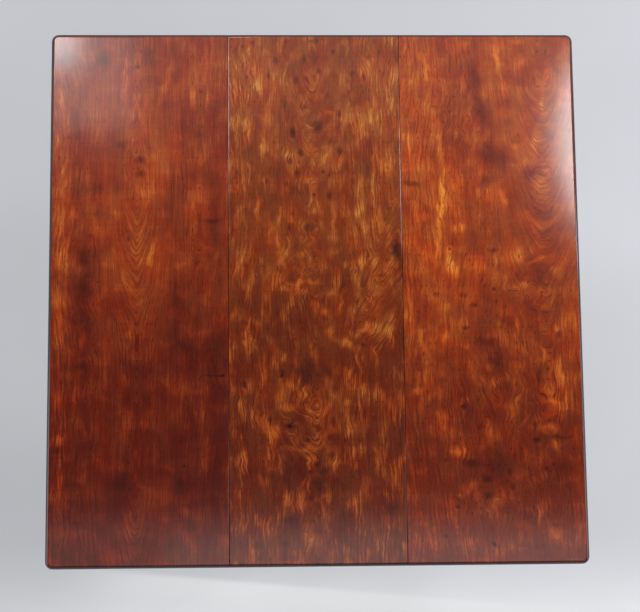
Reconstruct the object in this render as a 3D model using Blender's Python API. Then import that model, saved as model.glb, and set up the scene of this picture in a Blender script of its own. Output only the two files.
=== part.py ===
"""Spider-leg table: a mahogany top of three boards joined by rule joints, on a slender turned
frame whose four gates swing out under the two leaves. Metres, +Z up, X across the boards,
Y along them, origin on the floor under the middle of the top. At rest the leaves are level
and the gates are folded into the frame."""

from math import asin, cos, pi, radians, sin, sqrt

import bmesh
import bpy
from mathutils import Vector

# The top
open_width = 0.800
board_length = 0.809
table_height = 0.711
board_thickness = 0.016
centre_width = 0.261
corner_radius = 0.011
upper_edge_radius = 0.005
lower_edge_radius = 0.003

# The rule joints, drawn round the hinge pins
shoulder_depth = 0.003
pin_height = 0.003
joint_gap = 0.0007
cove_clearance = 0.0005

# The iron hinges, let in flush from below
hinge_setback = 0.1645
hinge_length = 0.038
board_plate_reach = 0.022
leaf_plate_reach = 0.038
plate_thickness = 0.0018
plate_sink = 0.0002
hinge_pin_radius = 0.0013

# The fixed frame
leg_side = 0.026
end_overhang = 0.0845
leaf_room = 0.0165
long_rail_thickness = 0.020
end_rail_thickness = 0.018
rail_depth = 0.045
stretcher_height = 0.120
block_margin = 0.014
glue_block_side = 0.018
glue_block_nose = 0.006
glue_block_length = 0.060
glue_block_setback = 0.170

# The gates
post_side = 0.022
gate_leg_spread = 0.110
gate_rail_thickness = 0.014
gate_rail_depth = 0.022
post_block_margin = 0.007
pintle_radius = 0.005
pintle_length = 0.018
pivot_gap = 0.0004
swing_clearance = 0.0015
gate_stop_width = 0.012
gate_stop_length = 0.036
gate_stop_depth = 0.008
gate_stop_chamfer = 0.003

# Joinery
tenon_thickness = 0.006
tenon_radius = 0.0035
tenon_shoulder = 0.005
tenon_web = 0.001
shoulder_slope = 0.003

# Pockets gouged in the rails' inner faces, through which the top is screwed down
pocket_radius = 0.0068
pocket_inset = 0.0052
pocket_drop = 0.014
pocket_run = 0.050
pocket_lean = radians(26)
long_rail_pocket_shares = (-0.72, -0.36, 0.36, 0.72)
end_rail_pocket_shares = (-0.48, 0.48)

# Working values: the gap kept between pieces that touch, and how far a cutter runs past its piece
fit = 0.0003
overrun = 0.004

# Facets
sides = 12
corner_steps = 5
edge_steps = 4
rule_steps = 8

# Turned outlines, as shares of the turned length and of half the block's side
leg_shaft_shares = (
    (0.000, 0.66), (0.014, 0.92), (0.030, 0.66), (0.046, 0.58), (0.062, 0.82), (0.080, 0.72),
    (0.360, 0.76), (0.660, 0.66), (0.922, 0.54), (0.938, 0.80), (0.954, 0.56), (0.978, 0.62),
    (1.000, 0.88),
)
foot_shares = (
    (0.00, 0.56), (0.08, 0.80), (0.24, 0.90), (0.38, 0.66), (0.50, 0.50), (0.66, 0.60),
    (0.88, 0.90), (1.00, 0.68),
)
post_shaft_shares = (
    (0.000, 0.68), (0.018, 0.94), (0.036, 0.66), (0.060, 0.78), (0.360, 0.82), (0.660, 0.72),
    (0.935, 0.60), (0.955, 0.86), (0.975, 0.62), (1.000, 0.90),
)
spindle_shares = (
    (0.00, 0.44), (0.05, 0.64), (0.10, 0.44), (0.30, 0.58), (0.50, 0.70), (0.70, 0.58),
    (0.90, 0.44), (0.95, 0.64), (1.00, 0.44),
)
collar_shares = ((0.00, 0.60), (0.25, 0.84), (0.50, 0.66), (0.75, 0.84), (1.00, 0.60))

# Heights that follow from the sizes above
underside = table_height - board_thickness
pin_level = underside + pin_height
seat_level = underside - fit
rail_bottom = seat_level - rail_depth
post_bottom = stretcher_height + leg_side / 2 + pivot_gap
post_top = rail_bottom - pivot_gap
post_block = gate_rail_depth + 2 * post_block_margin
gate_rail_level = post_top - post_block / 2
gate_stretcher_level = post_bottom + post_block / 2
lower_block_bottom = stretcher_height - leg_side / 2 - block_margin
lower_block_top = stretcher_height + leg_side / 2 + block_margin

# Places across and along the table
joint_x = centre_width / 2
frame_x = joint_x - pin_height - leaf_room - leg_side / 2
leg_y = board_length / 2 - end_overhang
pivot_y = leg_y - leg_side / 2 - post_side / sqrt(2) - swing_clearance
gate_leg_y = gate_leg_spread / 2
glue_block_y = leg_y - glue_block_setback
gate_length = pivot_y - gate_leg_y
hinge_y = board_length / 2 - hinge_setback

# Sizes that follow
ovolo_radius = board_thickness - shoulder_depth - pin_height
cove_radius = ovolo_radius + cove_clearance
knuckle_radius = pin_height - plate_sink
tenon_length = leg_side / 2 - max(tenon_thickness / 2, tenon_radius) - 2 * fit - tenon_web
swing_room = (leg_side / 2) ** 2 / (2 * (gate_length - leg_side / 2)) + fit

side_names = {-1: "left", 1: "right"}
end_names = {-1: "front", 1: "back"}


def clear_scene():
    for thing in list(bpy.data.objects):
        bpy.data.objects.remove(thing, do_unlink=True)


def principled(name, colour, roughness, metallic=0.0):
    material = bpy.data.materials.new(name)
    material.use_nodes = True
    shader = material.node_tree.nodes["Principled BSDF"]
    shader.inputs["Base Color"].default_value = (*colour, 1.0)
    shader.inputs["Roughness"].default_value = roughness
    shader.inputs["Metallic"].default_value = metallic
    material.diffuse_color = (*colour, 1.0)
    return material


def add_object(name, bm, material=None, parent=None, location=(0, 0, 0), rotation=(0, 0, 0)):
    bmesh.ops.recalc_face_normals(bm, faces=bm.faces)
    mesh = bpy.data.meshes.new(name)
    bm.to_mesh(mesh)
    bm.free()
    mesh.shade_smooth()
    mesh.set_sharp_from_angle(angle=radians(35))
    thing = bpy.data.objects.new(name, mesh)
    bpy.context.scene.collection.objects.link(thing)
    thing.location = location
    thing.rotation_euler = rotation
    if material:
        mesh.materials.append(material)
    if parent:
        thing.parent = parent
    return thing


def add_pivot(name, location):
    pivot = bpy.data.objects.new(name, None)
    pivot.location = location
    bpy.context.scene.collection.objects.link(pivot)
    return pivot


def boolean(thing, cutter, operation="DIFFERENCE"):
    cutter.hide_render = True
    cutter.display_type = "WIRE"
    modifier = thing.modifiers.new(operation.title(), "BOOLEAN")
    modifier.operation = operation
    modifier.solver = "EXACT"
    modifier.object = cutter


def loft(bm, rings):
    """Joins rings of equally many points with quads and closes both ends."""
    made = [[bm.verts.new(point) for point in ring] for ring in rings]
    count = len(made[0])
    for lower, upper in zip(made, made[1:]):
        for i in range(count):
            j = (i + 1) % count
            bm.faces.new((lower[i], lower[j], upper[j], upper[i]))
    bm.faces.new(reversed(made[0]))
    bm.faces.new(made[-1])


def add_box(bm, low, high):
    rings = []
    for z in (low[2], high[2]):
        rings.append([(low[0], low[1], z), (high[0], low[1], z), (high[0], high[1], z), (low[0], high[1], z)])
    loft(bm, rings)


def add_extrusion(bm, outline, start, end):
    """Extrudes an outline drawn in X and Z along Y."""
    loft(bm, [[(x, y, z) for x, z in outline] for y in (start, end)])


def add_cylinder(bm, radius, start, end, clearance=0.0):
    """A faceted cylinder between two points. With a clearance it is a bore whose flats clear that radius."""
    drawn = (radius + clearance) / cos(pi / sides) if clearance else radius
    axis = (Vector(end) - Vector(start)).normalized()
    across = axis.orthogonal().normalized()
    upright = axis.cross(across)
    rings = []
    for centre in (Vector(start), Vector(end)):
        turns = [2 * pi * i / sides for i in range(sides)]
        rings.append([centre + drawn * (cos(a) * across + sin(a) * upright) for a in turns])
    loft(bm, rings)


def round_station(place, radius):
    return place, radius, radius, False


def square_station(place, half_x, half_y=None):
    return place, half_x, half_x if half_y is None else half_y, True


def station_ring(station):
    """Twelve points starting at a corner, so that a square block and a turned ring join corner to corner."""
    place, half_x, half_y, square = station
    ring = []
    for i in range(sides):
        angle = pi / 4 + 2 * pi * i / sides
        x = cos(angle)
        y = sin(angle)
        reach = max(abs(x), abs(y)) if square else 1
        ring.append((half_x * x / reach, half_y * y / reach, place))
    return ring


def turning(shares, start, end, half_side):
    """Round stations along a turned stretch, from shares of its length and of the block's half side."""
    return [round_station(start + (end - start) * along, half_side * out) for along, out in shares]


def block(start, end, half_side):
    """A square block whose ends slope in to the turning."""
    return [square_station(start, half_side), square_station(end, half_side)]


def turned_piece(name, stations, material, **placing):
    bm = bmesh.new()
    loft(bm, [station_ring(station) for station in stations])
    return add_object(name, bm, material, **placing)


def tenoned_bar(name, half_length, half_x, half_y, tenon_y, material, **placing):
    """A rail built along its own Z, with a tenon at each end."""
    reach = half_length + tenon_length
    sections = [
        (-reach, tenon_thickness / 2, tenon_y),
        (-half_length, tenon_thickness / 2, tenon_y),
        (-half_length, half_x, half_y),
        (half_length, half_x, half_y),
        (half_length, tenon_thickness / 2, tenon_y),
        (reach, tenon_thickness / 2, tenon_y),
    ]
    bm = bmesh.new()
    loft(bm, [[(-x, -y, z), (x, -y, z), (x, y, z), (-x, y, z)] for z, x, y in sections])
    return add_object(name, bm, material, **placing)


def add_mortise(bm, face, inward, half_width, half_height):
    """A tenon's pocket in the piece whose surface is at face, running inward along X or Y."""
    near = Vector(face) - Vector(inward) * overrun
    far = Vector(face) + Vector(inward) * (tenon_length + fit)
    across = Vector((abs(inward[1]), abs(inward[0]), 0)) * (half_width + fit)
    upright = Vector((0, 0, half_height + fit))
    corners = [near - across - upright, near + across + upright, far - across - upright, far + across + upright]
    low = [min(corner[i] for corner in corners) for i in range(3)]
    high = [max(corner[i] for corner in corners) for i in range(3)]
    add_box(bm, low, high)


def add_round_mortise(bm, face, inward):
    near = Vector(face) - Vector(inward) * overrun
    far = Vector(face) + Vector(inward) * (tenon_length + fit)
    add_cylinder(bm, tenon_radius, near, far, clearance=fit)


def add_pocket(bm, face, inward):
    """A pocket that rises into a rail from the inner face and ends in a flat seat for a screw's head."""
    seat = Vector((*face, seat_level - pocket_drop)) - Vector(inward) * pocket_inset
    axis = Vector(inward) * sin(pocket_lean) - Vector((0, 0, cos(pocket_lean)))
    add_cylinder(bm, pocket_radius, seat, seat + axis * pocket_run)


def rounded_rectangle(half_x, half_y, radius, z):
    ring = []
    for quarter, (sign_x, sign_y) in enumerate(((1, 1), (-1, 1), (-1, -1), (1, -1))):
        centre_x = sign_x * (half_x - radius)
        centre_y = sign_y * (half_y - radius)
        for step in range(corner_steps + 1):
            angle = (quarter + step / corner_steps) * pi / 2
            ring.append((centre_x + radius * cos(angle), centre_y + radius * sin(angle), z))
    return ring


def add_top_slab(bm):
    """The whole top in one, with its rounded corners and edges, from which each board is taken."""
    rings = []
    for step in range(edge_steps + 1):
        angle = step / edge_steps * pi / 2
        inset = lower_edge_radius * (1 - sin(angle))
        z = underside + lower_edge_radius * (1 - cos(angle))
        rings.append((inset, z))
    for step in range(edge_steps + 1):
        angle = step / edge_steps * pi / 2
        inset = upper_edge_radius * (1 - cos(angle))
        z = table_height - upper_edge_radius * (1 - sin(angle))
        rings.append((inset, z))
    half_x = open_width / 2
    half_y = board_length / 2
    loft(bm, [rounded_rectangle(half_x - inset, half_y - inset, corner_radius - inset, z) for inset, z in rings])


def ovolo_outline():
    """The centre board's edge seen from the front: shoulder, then the round that the leaf rolls on."""
    lowest = -asin(pin_height / ovolo_radius)
    points = [(joint_x, table_height + overrun)]
    for step in range(rule_steps + 1):
        angle = pi / 2 + (lowest - pi / 2) * step / rule_steps
        points.append((joint_x + ovolo_radius * cos(angle), pin_level + ovolo_radius * sin(angle)))
    points.append((points[-1][0], underside - overrun))
    return points


def cove_outline():
    """The leaf's edge: a lip over a cove, whose flats clear the ovolo all the way round."""
    step_angle = pi / 2 / rule_steps
    drawn = cove_radius / cos(step_angle / 2)
    points = [(joint_x + joint_gap, table_height + overrun), (joint_x + joint_gap, pin_level + cove_radius)]
    for step in range(rule_steps):
        angle = pi / 2 - (step + 1 / 2) * step_angle
        points.append((joint_x + drawn * cos(angle), pin_level + drawn * sin(angle)))
    points.append((joint_x + cove_radius, underside - overrun))
    return points


def hinge_recess(side, end):
    """The pocket for one hinge: shallow for the plates and deeper for the knuckle."""
    plate_ceiling = underside + plate_sink + plate_thickness + fit
    knuckle_half = knuckle_radius + fit
    outline = [
        (-board_plate_reach - fit, underside - overrun),
        (leaf_plate_reach + fit, underside - overrun),
        (leaf_plate_reach + fit, plate_ceiling),
        (knuckle_half, plate_ceiling),
        (knuckle_half, pin_level + knuckle_half),
        (-knuckle_half, pin_level + knuckle_half),
        (-knuckle_half, plate_ceiling),
        (-board_plate_reach - fit, plate_ceiling),
    ]
    bm = bmesh.new()
    middle = end * hinge_y
    half = hinge_length / 2 + fit
    add_extrusion(bm, [(side * (joint_x + x), z) for x, z in outline], middle - half, middle + half)
    return add_object(f"cut_hinge_recess_{side_names[side]}_{end_names[end]}", bm)


def make_top(wood, leaf_wood, leaf_pivots):
    recesses = {(side, end): hinge_recess(side, end) for side in side_names for end in end_names}

    bm = bmesh.new()
    add_top_slab(bm)
    centre_board = add_object("centre_board", bm, wood)
    edge = ovolo_outline()
    bm = bmesh.new()
    outline = edge + [(-x, z) for x, z in reversed(edge)]
    add_extrusion(bm, outline, -board_length / 2 - overrun, board_length / 2 + overrun)
    boolean(centre_board, add_object("cut_centre_outline", bm), "INTERSECT")
    for recess in recesses.values():
        boolean(centre_board, recess)

    for side, name in side_names.items():
        bm = bmesh.new()
        add_top_slab(bm)
        bmesh.ops.translate(bm, verts=bm.verts, vec=-leaf_pivots[side].location)
        leaf = add_object(f"leaf_{name}", bm, leaf_wood, parent=leaf_pivots[side])
        outer = open_width / 2 + overrun
        outline = cove_outline() + [(outer, underside - overrun), (outer, table_height + overrun)]
        bm = bmesh.new()
        outline = [(side * x, z) for x, z in outline]
        add_extrusion(bm, outline, -board_length / 2 - overrun, board_length / 2 + overrun)
        boolean(leaf, add_object(f"cut_leaf_outline_{name}", bm), "INTERSECT")
        for end in end_names:
            boolean(leaf, recesses[side, end])


def plate_outline(reach):
    """A hinge plate and its knuckle, drawn from the pin: the plate runs off to +X."""
    plate_top = plate_sink + plate_thickness - pin_height
    turn = asin(plate_top / knuckle_radius) - 3 * pi / 2
    points = [(reach, plate_top), (reach, -knuckle_radius)]
    for step in range(sides + 1):
        angle = -pi / 2 + turn * step / sides
        points.append((knuckle_radius * cos(angle), knuckle_radius * sin(angle)))
    return points


def make_hinge(side, end, iron, leaf_pivot):
    place = f"{side_names[side]}_{end_names[end]}"
    middle = end * hinge_y
    half = hinge_length / 2
    third = hinge_length / 3
    room = knuckle_radius + fit
    pin_place = Vector((side * joint_x, middle, pin_level))

    plates = (
        ("hinge_board_plate", -side, board_plate_reach, None, ((-third / 2 - fit, third / 2 + fit),)),
        ("hinge_leaf_plate", side, leaf_plate_reach, leaf_pivot,
         ((-half - overrun, -third / 2), (third / 2, half + overrun))),
    )
    for kind, away, reach, parent, notches in plates:
        bm = bmesh.new()
        add_extrusion(bm, [(away * x, z) for x, z in plate_outline(reach)], -half, half)
        place_from_parent = pin_place - parent.location if parent else pin_place
        plate = add_object(f"{kind}_{place}", bm, iron, parent=parent, location=place_from_parent)
        bm = bmesh.new()
        for start, stop in notches:
            low = pin_place + Vector((-room, start, -room - overrun))
            high = pin_place + Vector((room, stop, room + overrun))
            add_box(bm, low, high)
        boolean(plate, add_object(f"cut_{kind}_notch_{place}", bm))
        bm = bmesh.new()
        reach_y = Vector((0, half + overrun, 0))
        add_cylinder(bm, hinge_pin_radius, pin_place - reach_y, pin_place + reach_y, clearance=fit)
        boolean(plate, add_object(f"cut_{kind}_bore_{place}", bm))

    bm = bmesh.new()
    add_cylinder(bm, hinge_pin_radius, (0, -half, 0), (0, half, 0))
    add_object(f"hinge_pin_{place}", bm, iron, location=pin_place)


def make_corner_leg(side, end, wood):
    place = f"{side_names[side]}_{end_names[end]}"
    half = leg_side / 2
    upper_block_bottom = rail_bottom - block_margin
    stations = turning(foot_shares, 0, lower_block_bottom - shoulder_slope, half)
    stations += block(lower_block_bottom, lower_block_top, half)
    stations += turning(leg_shaft_shares, lower_block_top + shoulder_slope, upper_block_bottom - shoulder_slope, half)
    stations += block(upper_block_bottom, seat_level, half)
    leg = turned_piece(f"corner_leg_{place}", stations, wood, location=(side * frame_x, end * leg_y, 0))

    rail_level = seat_level - rail_depth / 2
    inner_x = (side * (frame_x - half), end * leg_y)
    inner_y = (side * frame_x, end * (leg_y - half))
    bm = bmesh.new()
    for face, inward in ((inner_x, (side, 0, 0)), (inner_y, (0, end, 0))):
        add_mortise(bm, (*face, rail_level), inward, tenon_thickness / 2, rail_depth / 2 - tenon_shoulder)
    add_round_mortise(bm, (*inner_x, stretcher_height), (side, 0, 0))
    add_mortise(bm, (*inner_y, stretcher_height), (0, end, 0), tenon_thickness / 2, half - tenon_shoulder)
    boolean(leg, add_object(f"cut_mortises_{place}", bm))


def halving_notch(side, end, half_depth_x, bottom, top):
    """Takes the outer half out of a frame member where a folded gate leg lies across it."""
    bm = bmesh.new()
    near = side * (frame_x - fit / 2)
    far = side * (frame_x + half_depth_x + overrun)
    half = leg_side / 2 + swing_room
    low = (min(near, far), end * gate_leg_y - half, bottom)
    high = (max(near, far), end * gate_leg_y + half, top)
    add_box(bm, low, high)
    return bm


def make_rails(wood):
    half_y = leg_y - leg_side / 2 - fit
    half_x = frame_x - leg_side / 2 - fit
    level = seat_level - rail_depth / 2
    tenon_half = rail_depth / 2 - tenon_shoulder
    for side, name in side_names.items():
        rail = tenoned_bar(
            f"long_rail_{name}", half_y, long_rail_thickness / 2, rail_depth / 2, tenon_half, wood,
            location=(side * frame_x, 0, level), rotation=(-pi / 2, 0, 0),
        )
        for end, end_name in end_names.items():
            notch = halving_notch(side, end, long_rail_thickness / 2, rail_bottom - overrun, seat_level + overrun)
            boolean(rail, add_object(f"cut_rail_halving_{name}_{end_name}", notch))
            bm = bmesh.new()
            socket = (side * frame_x, end * pivot_y)
            top = post_top + pintle_length + fit
            add_cylinder(bm, pintle_radius, (*socket, rail_bottom - overrun), (*socket, top), clearance=fit)
            boolean(rail, add_object(f"cut_rail_socket_{name}_{end_name}", bm))
        bm = bmesh.new()
        inner = side * (frame_x - long_rail_thickness / 2)
        for share in long_rail_pocket_shares:
            add_pocket(bm, (inner, share * half_y), (-side, 0, 0))
        boolean(rail, add_object(f"cut_rail_pockets_{name}", bm))
    for end, name in end_names.items():
        rail = tenoned_bar(
            f"end_rail_{name}", half_x, end_rail_thickness / 2, rail_depth / 2, tenon_half, wood,
            location=(0, end * leg_y, level), rotation=(-pi / 2, 0, -pi / 2),
        )
        bm = bmesh.new()
        inner = end * (leg_y - end_rail_thickness / 2)
        for share in end_rail_pocket_shares:
            add_pocket(bm, (share * half_x, inner), (0, -end, 0))
        boolean(rail, add_object(f"cut_end_rail_pockets_{name}", bm))


def long_stretcher_stations():
    """From one end: tenon, pivot block, spindle, halving block, collar, and the same again mirrored."""
    half = leg_side / 2
    tenon_half = half - tenon_shoulder
    halving_half = half + swing_room + shoulder_slope
    halving_near = gate_leg_y - halving_half
    halving_far = gate_leg_y + halving_half
    pivot_near = pivot_y - post_side / sqrt(2)
    shoulder = leg_y - half - fit
    outer = [
        square_station(-shoulder - tenon_length, tenon_thickness / 2, tenon_half),
        square_station(-shoulder, tenon_thickness / 2, tenon_half),
    ]
    outer += block(-shoulder, -pivot_near, half)
    outer += turning(spindle_shares, -pivot_near + shoulder_slope, -halving_far - shoulder_slope, half)
    outer += block(-halving_far, -halving_near, half)
    middle = turning(collar_shares, -halving_near + shoulder_slope, halving_near - shoulder_slope, half)
    mirrored = [(-place, x, y, square) for place, x, y, square in reversed(outer)]
    return outer + middle + mirrored


def make_stretchers(wood):
    half = leg_side / 2
    for side, name in side_names.items():
        stretcher = turned_piece(
            f"long_stretcher_{name}", long_stretcher_stations(), wood,
            location=(side * frame_x, 0, stretcher_height), rotation=(-pi / 2, 0, 0),
        )
        for end, end_name in end_names.items():
            notch = halving_notch(
                side, end, half, stretcher_height - half - overrun, stretcher_height + half + overrun
            )
            boolean(stretcher, add_object(f"cut_stretcher_halving_{name}_{end_name}", notch))
            bm = bmesh.new()
            socket = (side * frame_x, end * pivot_y)
            bottom = post_bottom - pintle_length - fit
            above = stretcher_height + half + overrun
            add_cylinder(bm, pintle_radius, (*socket, bottom), (*socket, above), clearance=fit)
            boolean(stretcher, add_object(f"cut_stretcher_socket_{name}_{end_name}", bm))

    half_x = frame_x - half - fit
    stations = [round_station(-half_x - tenon_length, tenon_radius), round_station(-half_x, tenon_radius)]
    stations += turning(spindle_shares, -half_x, half_x, half)
    stations += [round_station(half_x, tenon_radius), round_station(half_x + tenon_length, tenon_radius)]
    for end, name in end_names.items():
        turned_piece(
            f"end_stretcher_{name}", stations, wood,
            location=(0, end * leg_y, stretcher_height), rotation=(0, pi / 2, 0),
        )


def make_glue_blocks(wood):
    """Chamfered blocks rubbed into the corner between the rails and the top."""
    corner = [(0, 0), (glue_block_side, 0), (glue_block_side, -glue_block_nose),
              (glue_block_nose, -glue_block_side), (0, -glue_block_side)]
    half = glue_block_length / 2
    for side, name in side_names.items():
        inner = frame_x - long_rail_thickness / 2 - fit
        for end, end_name in end_names.items():
            bm = bmesh.new()
            middle = end * glue_block_y
            add_extrusion(bm, [(side * (inner - x), seat_level + z) for x, z in corner], middle - half, middle + half)
            add_object(f"glue_block_{name}_{end_name}", bm, wood)
    for end, name in end_names.items():
        inner = leg_y - end_rail_thickness / 2 - fit
        bm = bmesh.new()
        loft(bm, [[(x, end * (inner - y), seat_level + z) for y, z in corner] for x in (-half, half)])
        add_object(f"glue_block_{name}", bm, wood)


def make_gate_stop(side, end, wood, leaf_pivot):
    """The block under the leaf that the gate leg comes up against when the gate is square to the frame."""
    top = underside - fit
    bottom = top - gate_stop_depth
    outline = [
        (0, top),
        (gate_stop_width, top),
        (gate_stop_width, bottom + gate_stop_chamfer),
        (gate_stop_width - gate_stop_chamfer, bottom),
        (0, bottom),
    ]
    near_y = pivot_y + leg_side / 2 + fit
    middle_x = frame_x + gate_length
    ends = (middle_x - gate_stop_length / 2, middle_x + gate_stop_length / 2)
    bm = bmesh.new()
    loft(bm, [[(side * x, end * (near_y + y), z) for y, z in outline] for x in ends])
    bmesh.ops.translate(bm, verts=bm.verts, vec=-leaf_pivot.location)
    add_object(f"gate_stop_{side_names[side]}_{end_names[end]}", bm, wood, parent=leaf_pivot)


def make_gate(side, end, wood, pivot):
    place = f"{side_names[side]}_{end_names[end]}"
    leg_half = leg_side / 2
    post_half = post_side / 2
    toward = -end
    lower_top = post_bottom + post_block
    upper_bottom = post_top - post_block

    stations = [round_station(post_bottom - pintle_length, pintle_radius), round_station(post_bottom, pintle_radius)]
    stations += block(post_bottom, lower_top, post_half)
    stations += turning(post_shaft_shares, lower_top + shoulder_slope, upper_bottom - shoulder_slope, post_half)
    stations += block(upper_bottom, post_top, post_half)
    stations += [round_station(post_top, pintle_radius), round_station(post_top + pintle_length, pintle_radius)]
    post = turned_piece(f"gate_post_{place}", stations, wood, parent=pivot)

    stations = turning(foot_shares, 0, lower_block_bottom - shoulder_slope, leg_half)
    stations += block(lower_block_bottom, lower_top, leg_half)
    stations += turning(leg_shaft_shares, lower_top + shoulder_slope, upper_bottom - shoulder_slope, leg_half)
    stations += block(upper_bottom, seat_level, leg_half)
    leg = turned_piece(f"gate_leg_{place}", stations, wood, parent=pivot, location=(0, toward * gate_length, 0))

    pivot_place = Vector((side * frame_x, end * pivot_y, 0))
    leg_place = pivot_place + Vector((0, toward * gate_length, 0))
    bm = bmesh.new()
    near = side * (frame_x + fit / 2)
    far = side * (frame_x - leg_half - overrun)
    half = leg_half + overrun
    crossings = (
        (stretcher_height - leg_half - fit, stretcher_height + leg_half + fit),
        (rail_bottom - fit, seat_level + overrun),
    )
    for bottom, top in crossings:
        add_box(bm, (min(near, far), leg_place.y - half, bottom), (max(near, far), leg_place.y + half, top))
    boolean(leg, add_object(f"cut_gate_leg_halvings_{place}", bm))

    tenon_half = gate_rail_depth / 2 - tenon_shoulder
    for piece, centre, half, facing in ((post, pivot_place, post_half, toward), (leg, leg_place, leg_half, -toward)):
        bm = bmesh.new()
        face = (centre.x, centre.y + facing * half)
        add_mortise(bm, (*face, gate_rail_level), (0, -facing, 0), tenon_thickness / 2, tenon_half)
        add_round_mortise(bm, (*face, gate_stretcher_level), (0, -facing, 0))
        boolean(piece, add_object(f"cut_mortises_{piece.name}", bm))

    near_face = post_half + fit
    far_face = gate_length - leg_half - fit
    middle = toward * (near_face + far_face) / 2
    half_length = (far_face - near_face) / 2
    tenoned_bar(
        f"gate_rail_{place}", half_length, gate_rail_thickness / 2, gate_rail_depth / 2, tenon_half, wood,
        parent=pivot, location=(0, middle, gate_rail_level), rotation=(-pi / 2, 0, 0),
    )
    stations = [round_station(-half_length - tenon_length, tenon_radius), round_station(-half_length, tenon_radius)]
    stations += turning(spindle_shares, -half_length, half_length, post_half)
    stations += [round_station(half_length, tenon_radius), round_station(half_length + tenon_length, tenon_radius)]
    turned_piece(
        f"gate_stretcher_{place}", stations, wood,
        parent=pivot, location=(0, middle, gate_stretcher_level), rotation=(-pi / 2, 0, 0),
    )


def main():
    clear_scene()
    figured = principled("figured_mahogany", (0.34, 0.14, 0.05), 0.25)
    plain = principled("mahogany_leaf", (0.27, 0.075, 0.03), 0.25)
    frame_wood = principled("mahogany_frame", (0.16, 0.05, 0.025), 0.35)
    block_wood = principled("pine_block", (0.45, 0.28, 0.13), 0.7)
    iron = principled("hinge_iron", (0.09, 0.08, 0.075), 0.5, 0.9)

    leaf_pivots = {
        side: add_pivot(f"pivot_leaf_{name}", (side * joint_x, 0, pin_level)) for side, name in side_names.items()
    }
    make_top(figured, plain, leaf_pivots)
    make_rails(frame_wood)
    make_stretchers(frame_wood)
    make_glue_blocks(block_wood)
    for side, side_name in side_names.items():
        for end, end_name in end_names.items():
            make_hinge(side, end, iron, leaf_pivots[side])
            make_corner_leg(side, end, frame_wood)
            pivot = add_pivot(f"pivot_gate_{side_name}_{end_name}", (side * frame_x, end * pivot_y, 0))
            make_gate(side, end, frame_wood, pivot)
            make_gate_stop(side, end, frame_wood, leaf_pivots[side])


main()
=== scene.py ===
import math

import bmesh
import bpy
from mathutils import Euler, Matrix, Vector


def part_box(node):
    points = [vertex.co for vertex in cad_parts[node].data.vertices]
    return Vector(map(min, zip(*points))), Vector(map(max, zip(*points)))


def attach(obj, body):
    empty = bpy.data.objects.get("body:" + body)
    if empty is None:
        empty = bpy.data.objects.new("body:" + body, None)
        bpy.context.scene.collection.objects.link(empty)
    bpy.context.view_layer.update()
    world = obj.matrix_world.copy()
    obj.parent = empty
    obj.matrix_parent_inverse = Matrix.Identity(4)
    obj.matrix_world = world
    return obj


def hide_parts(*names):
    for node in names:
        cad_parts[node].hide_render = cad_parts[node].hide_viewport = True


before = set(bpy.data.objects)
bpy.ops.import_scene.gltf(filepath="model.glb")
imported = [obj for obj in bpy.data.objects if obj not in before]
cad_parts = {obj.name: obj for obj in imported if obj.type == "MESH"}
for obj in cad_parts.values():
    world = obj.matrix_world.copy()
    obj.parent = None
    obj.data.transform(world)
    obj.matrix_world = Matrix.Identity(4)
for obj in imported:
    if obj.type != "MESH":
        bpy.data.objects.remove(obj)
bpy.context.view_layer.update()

print("frame loaded:", len(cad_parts), "nodes")

ends = {"front": -1, "back": 1}  # front is the end that is lowest in the picture
sides = {"left": -1, "right": 1}
corners = [
    (f"{sideName}_{endName}", f"{sideName}_leaf", side, end)
    for sideName, side in sides.items() for endName, end in ends.items()
]
quarter = math.pi / 2

# The camera comes first, because the figure of the boards is placed in steps of the picture

cameraView = {
    "place": (-0.0871, -0.4106, 3.2510),
    "turn": (8.800, -1.997, -0.629),
    "lens": 96.52,
    "sensor": 36.0,
    "picture": (640, 612),
    "middle": (320, 300),
    "boardTop": 0.711,
}


def makeCamera():
    data = bpy.data.cameras.new("camera")
    data.lens = cameraView["lens"]
    data.sensor_width = cameraView["sensor"]
    camera = bpy.data.objects.new("camera", data)
    camera.location = cameraView["place"]
    camera.rotation_euler = [math.radians(angle) for angle in cameraView["turn"]]
    bpy.context.scene.collection.objects.link(camera)
    bpy.context.scene.camera = camera


def onTop(across, down):  # the point of the table top that shows at this place of the picture
    wide, high = cameraView["picture"]
    reach = cameraView["lens"] / cameraView["sensor"] * wide
    ray = Vector(((across - wide / 2) / reach, (high / 2 - down) / reach, -1))
    ray.rotate(Euler([math.radians(angle) for angle in cameraView["turn"]]))
    start = Vector(cameraView["place"])
    point = start + ray * ((cameraView["boardTop"] - start.z) / ray.z)
    return point.x, point.y, 0.0


makeCamera()
print("camera set")

# Nodes


def tint(*levels):  # screen colour, 0 to 255
    light = [((level / 255 + 0.055) / 1.055) ** 2.4 if level > 10 else level / 3295 for level in levels]
    return (*light, 1.0)


def wire(tree, sockets, values):  # a value that is a socket is linked, and any other is set
    for key, value in values.items():
        if isinstance(value, bpy.types.NodeSocket):
            tree.links.new(value, sockets[key])
        else:
            sockets[key].default_value = value


def put(tree, kind, inputs=None, **settings):
    node = tree.nodes.new("ShaderNode" + kind)
    for key, value in settings.items():
        setattr(node, key, value)
    wire(tree, node.inputs, inputs or {})
    return node


def calc(tree, operation, *values):
    return put(tree, "Math", dict(enumerate(values)), operation=operation).outputs[0]


def times(tree, first, second):
    return calc(tree, "MULTIPLY", first, second)


def vector(tree, operation, *values):
    return put(tree, "VectorMath", dict(enumerate(values)), operation=operation).outputs[0]


def measure(tree, value, way):  # how far a vector reaches along a direction
    return put(tree, "VectorMath", {0: value, 1: way}, operation="DOT_PRODUCT").outputs["Value"]


def combined(tree, *values):
    return put(tree, "CombineXYZ", dict(enumerate(values))).outputs[0]


def parted(tree, value):
    return put(tree, "SeparateXYZ", {0: value}).outputs


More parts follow.
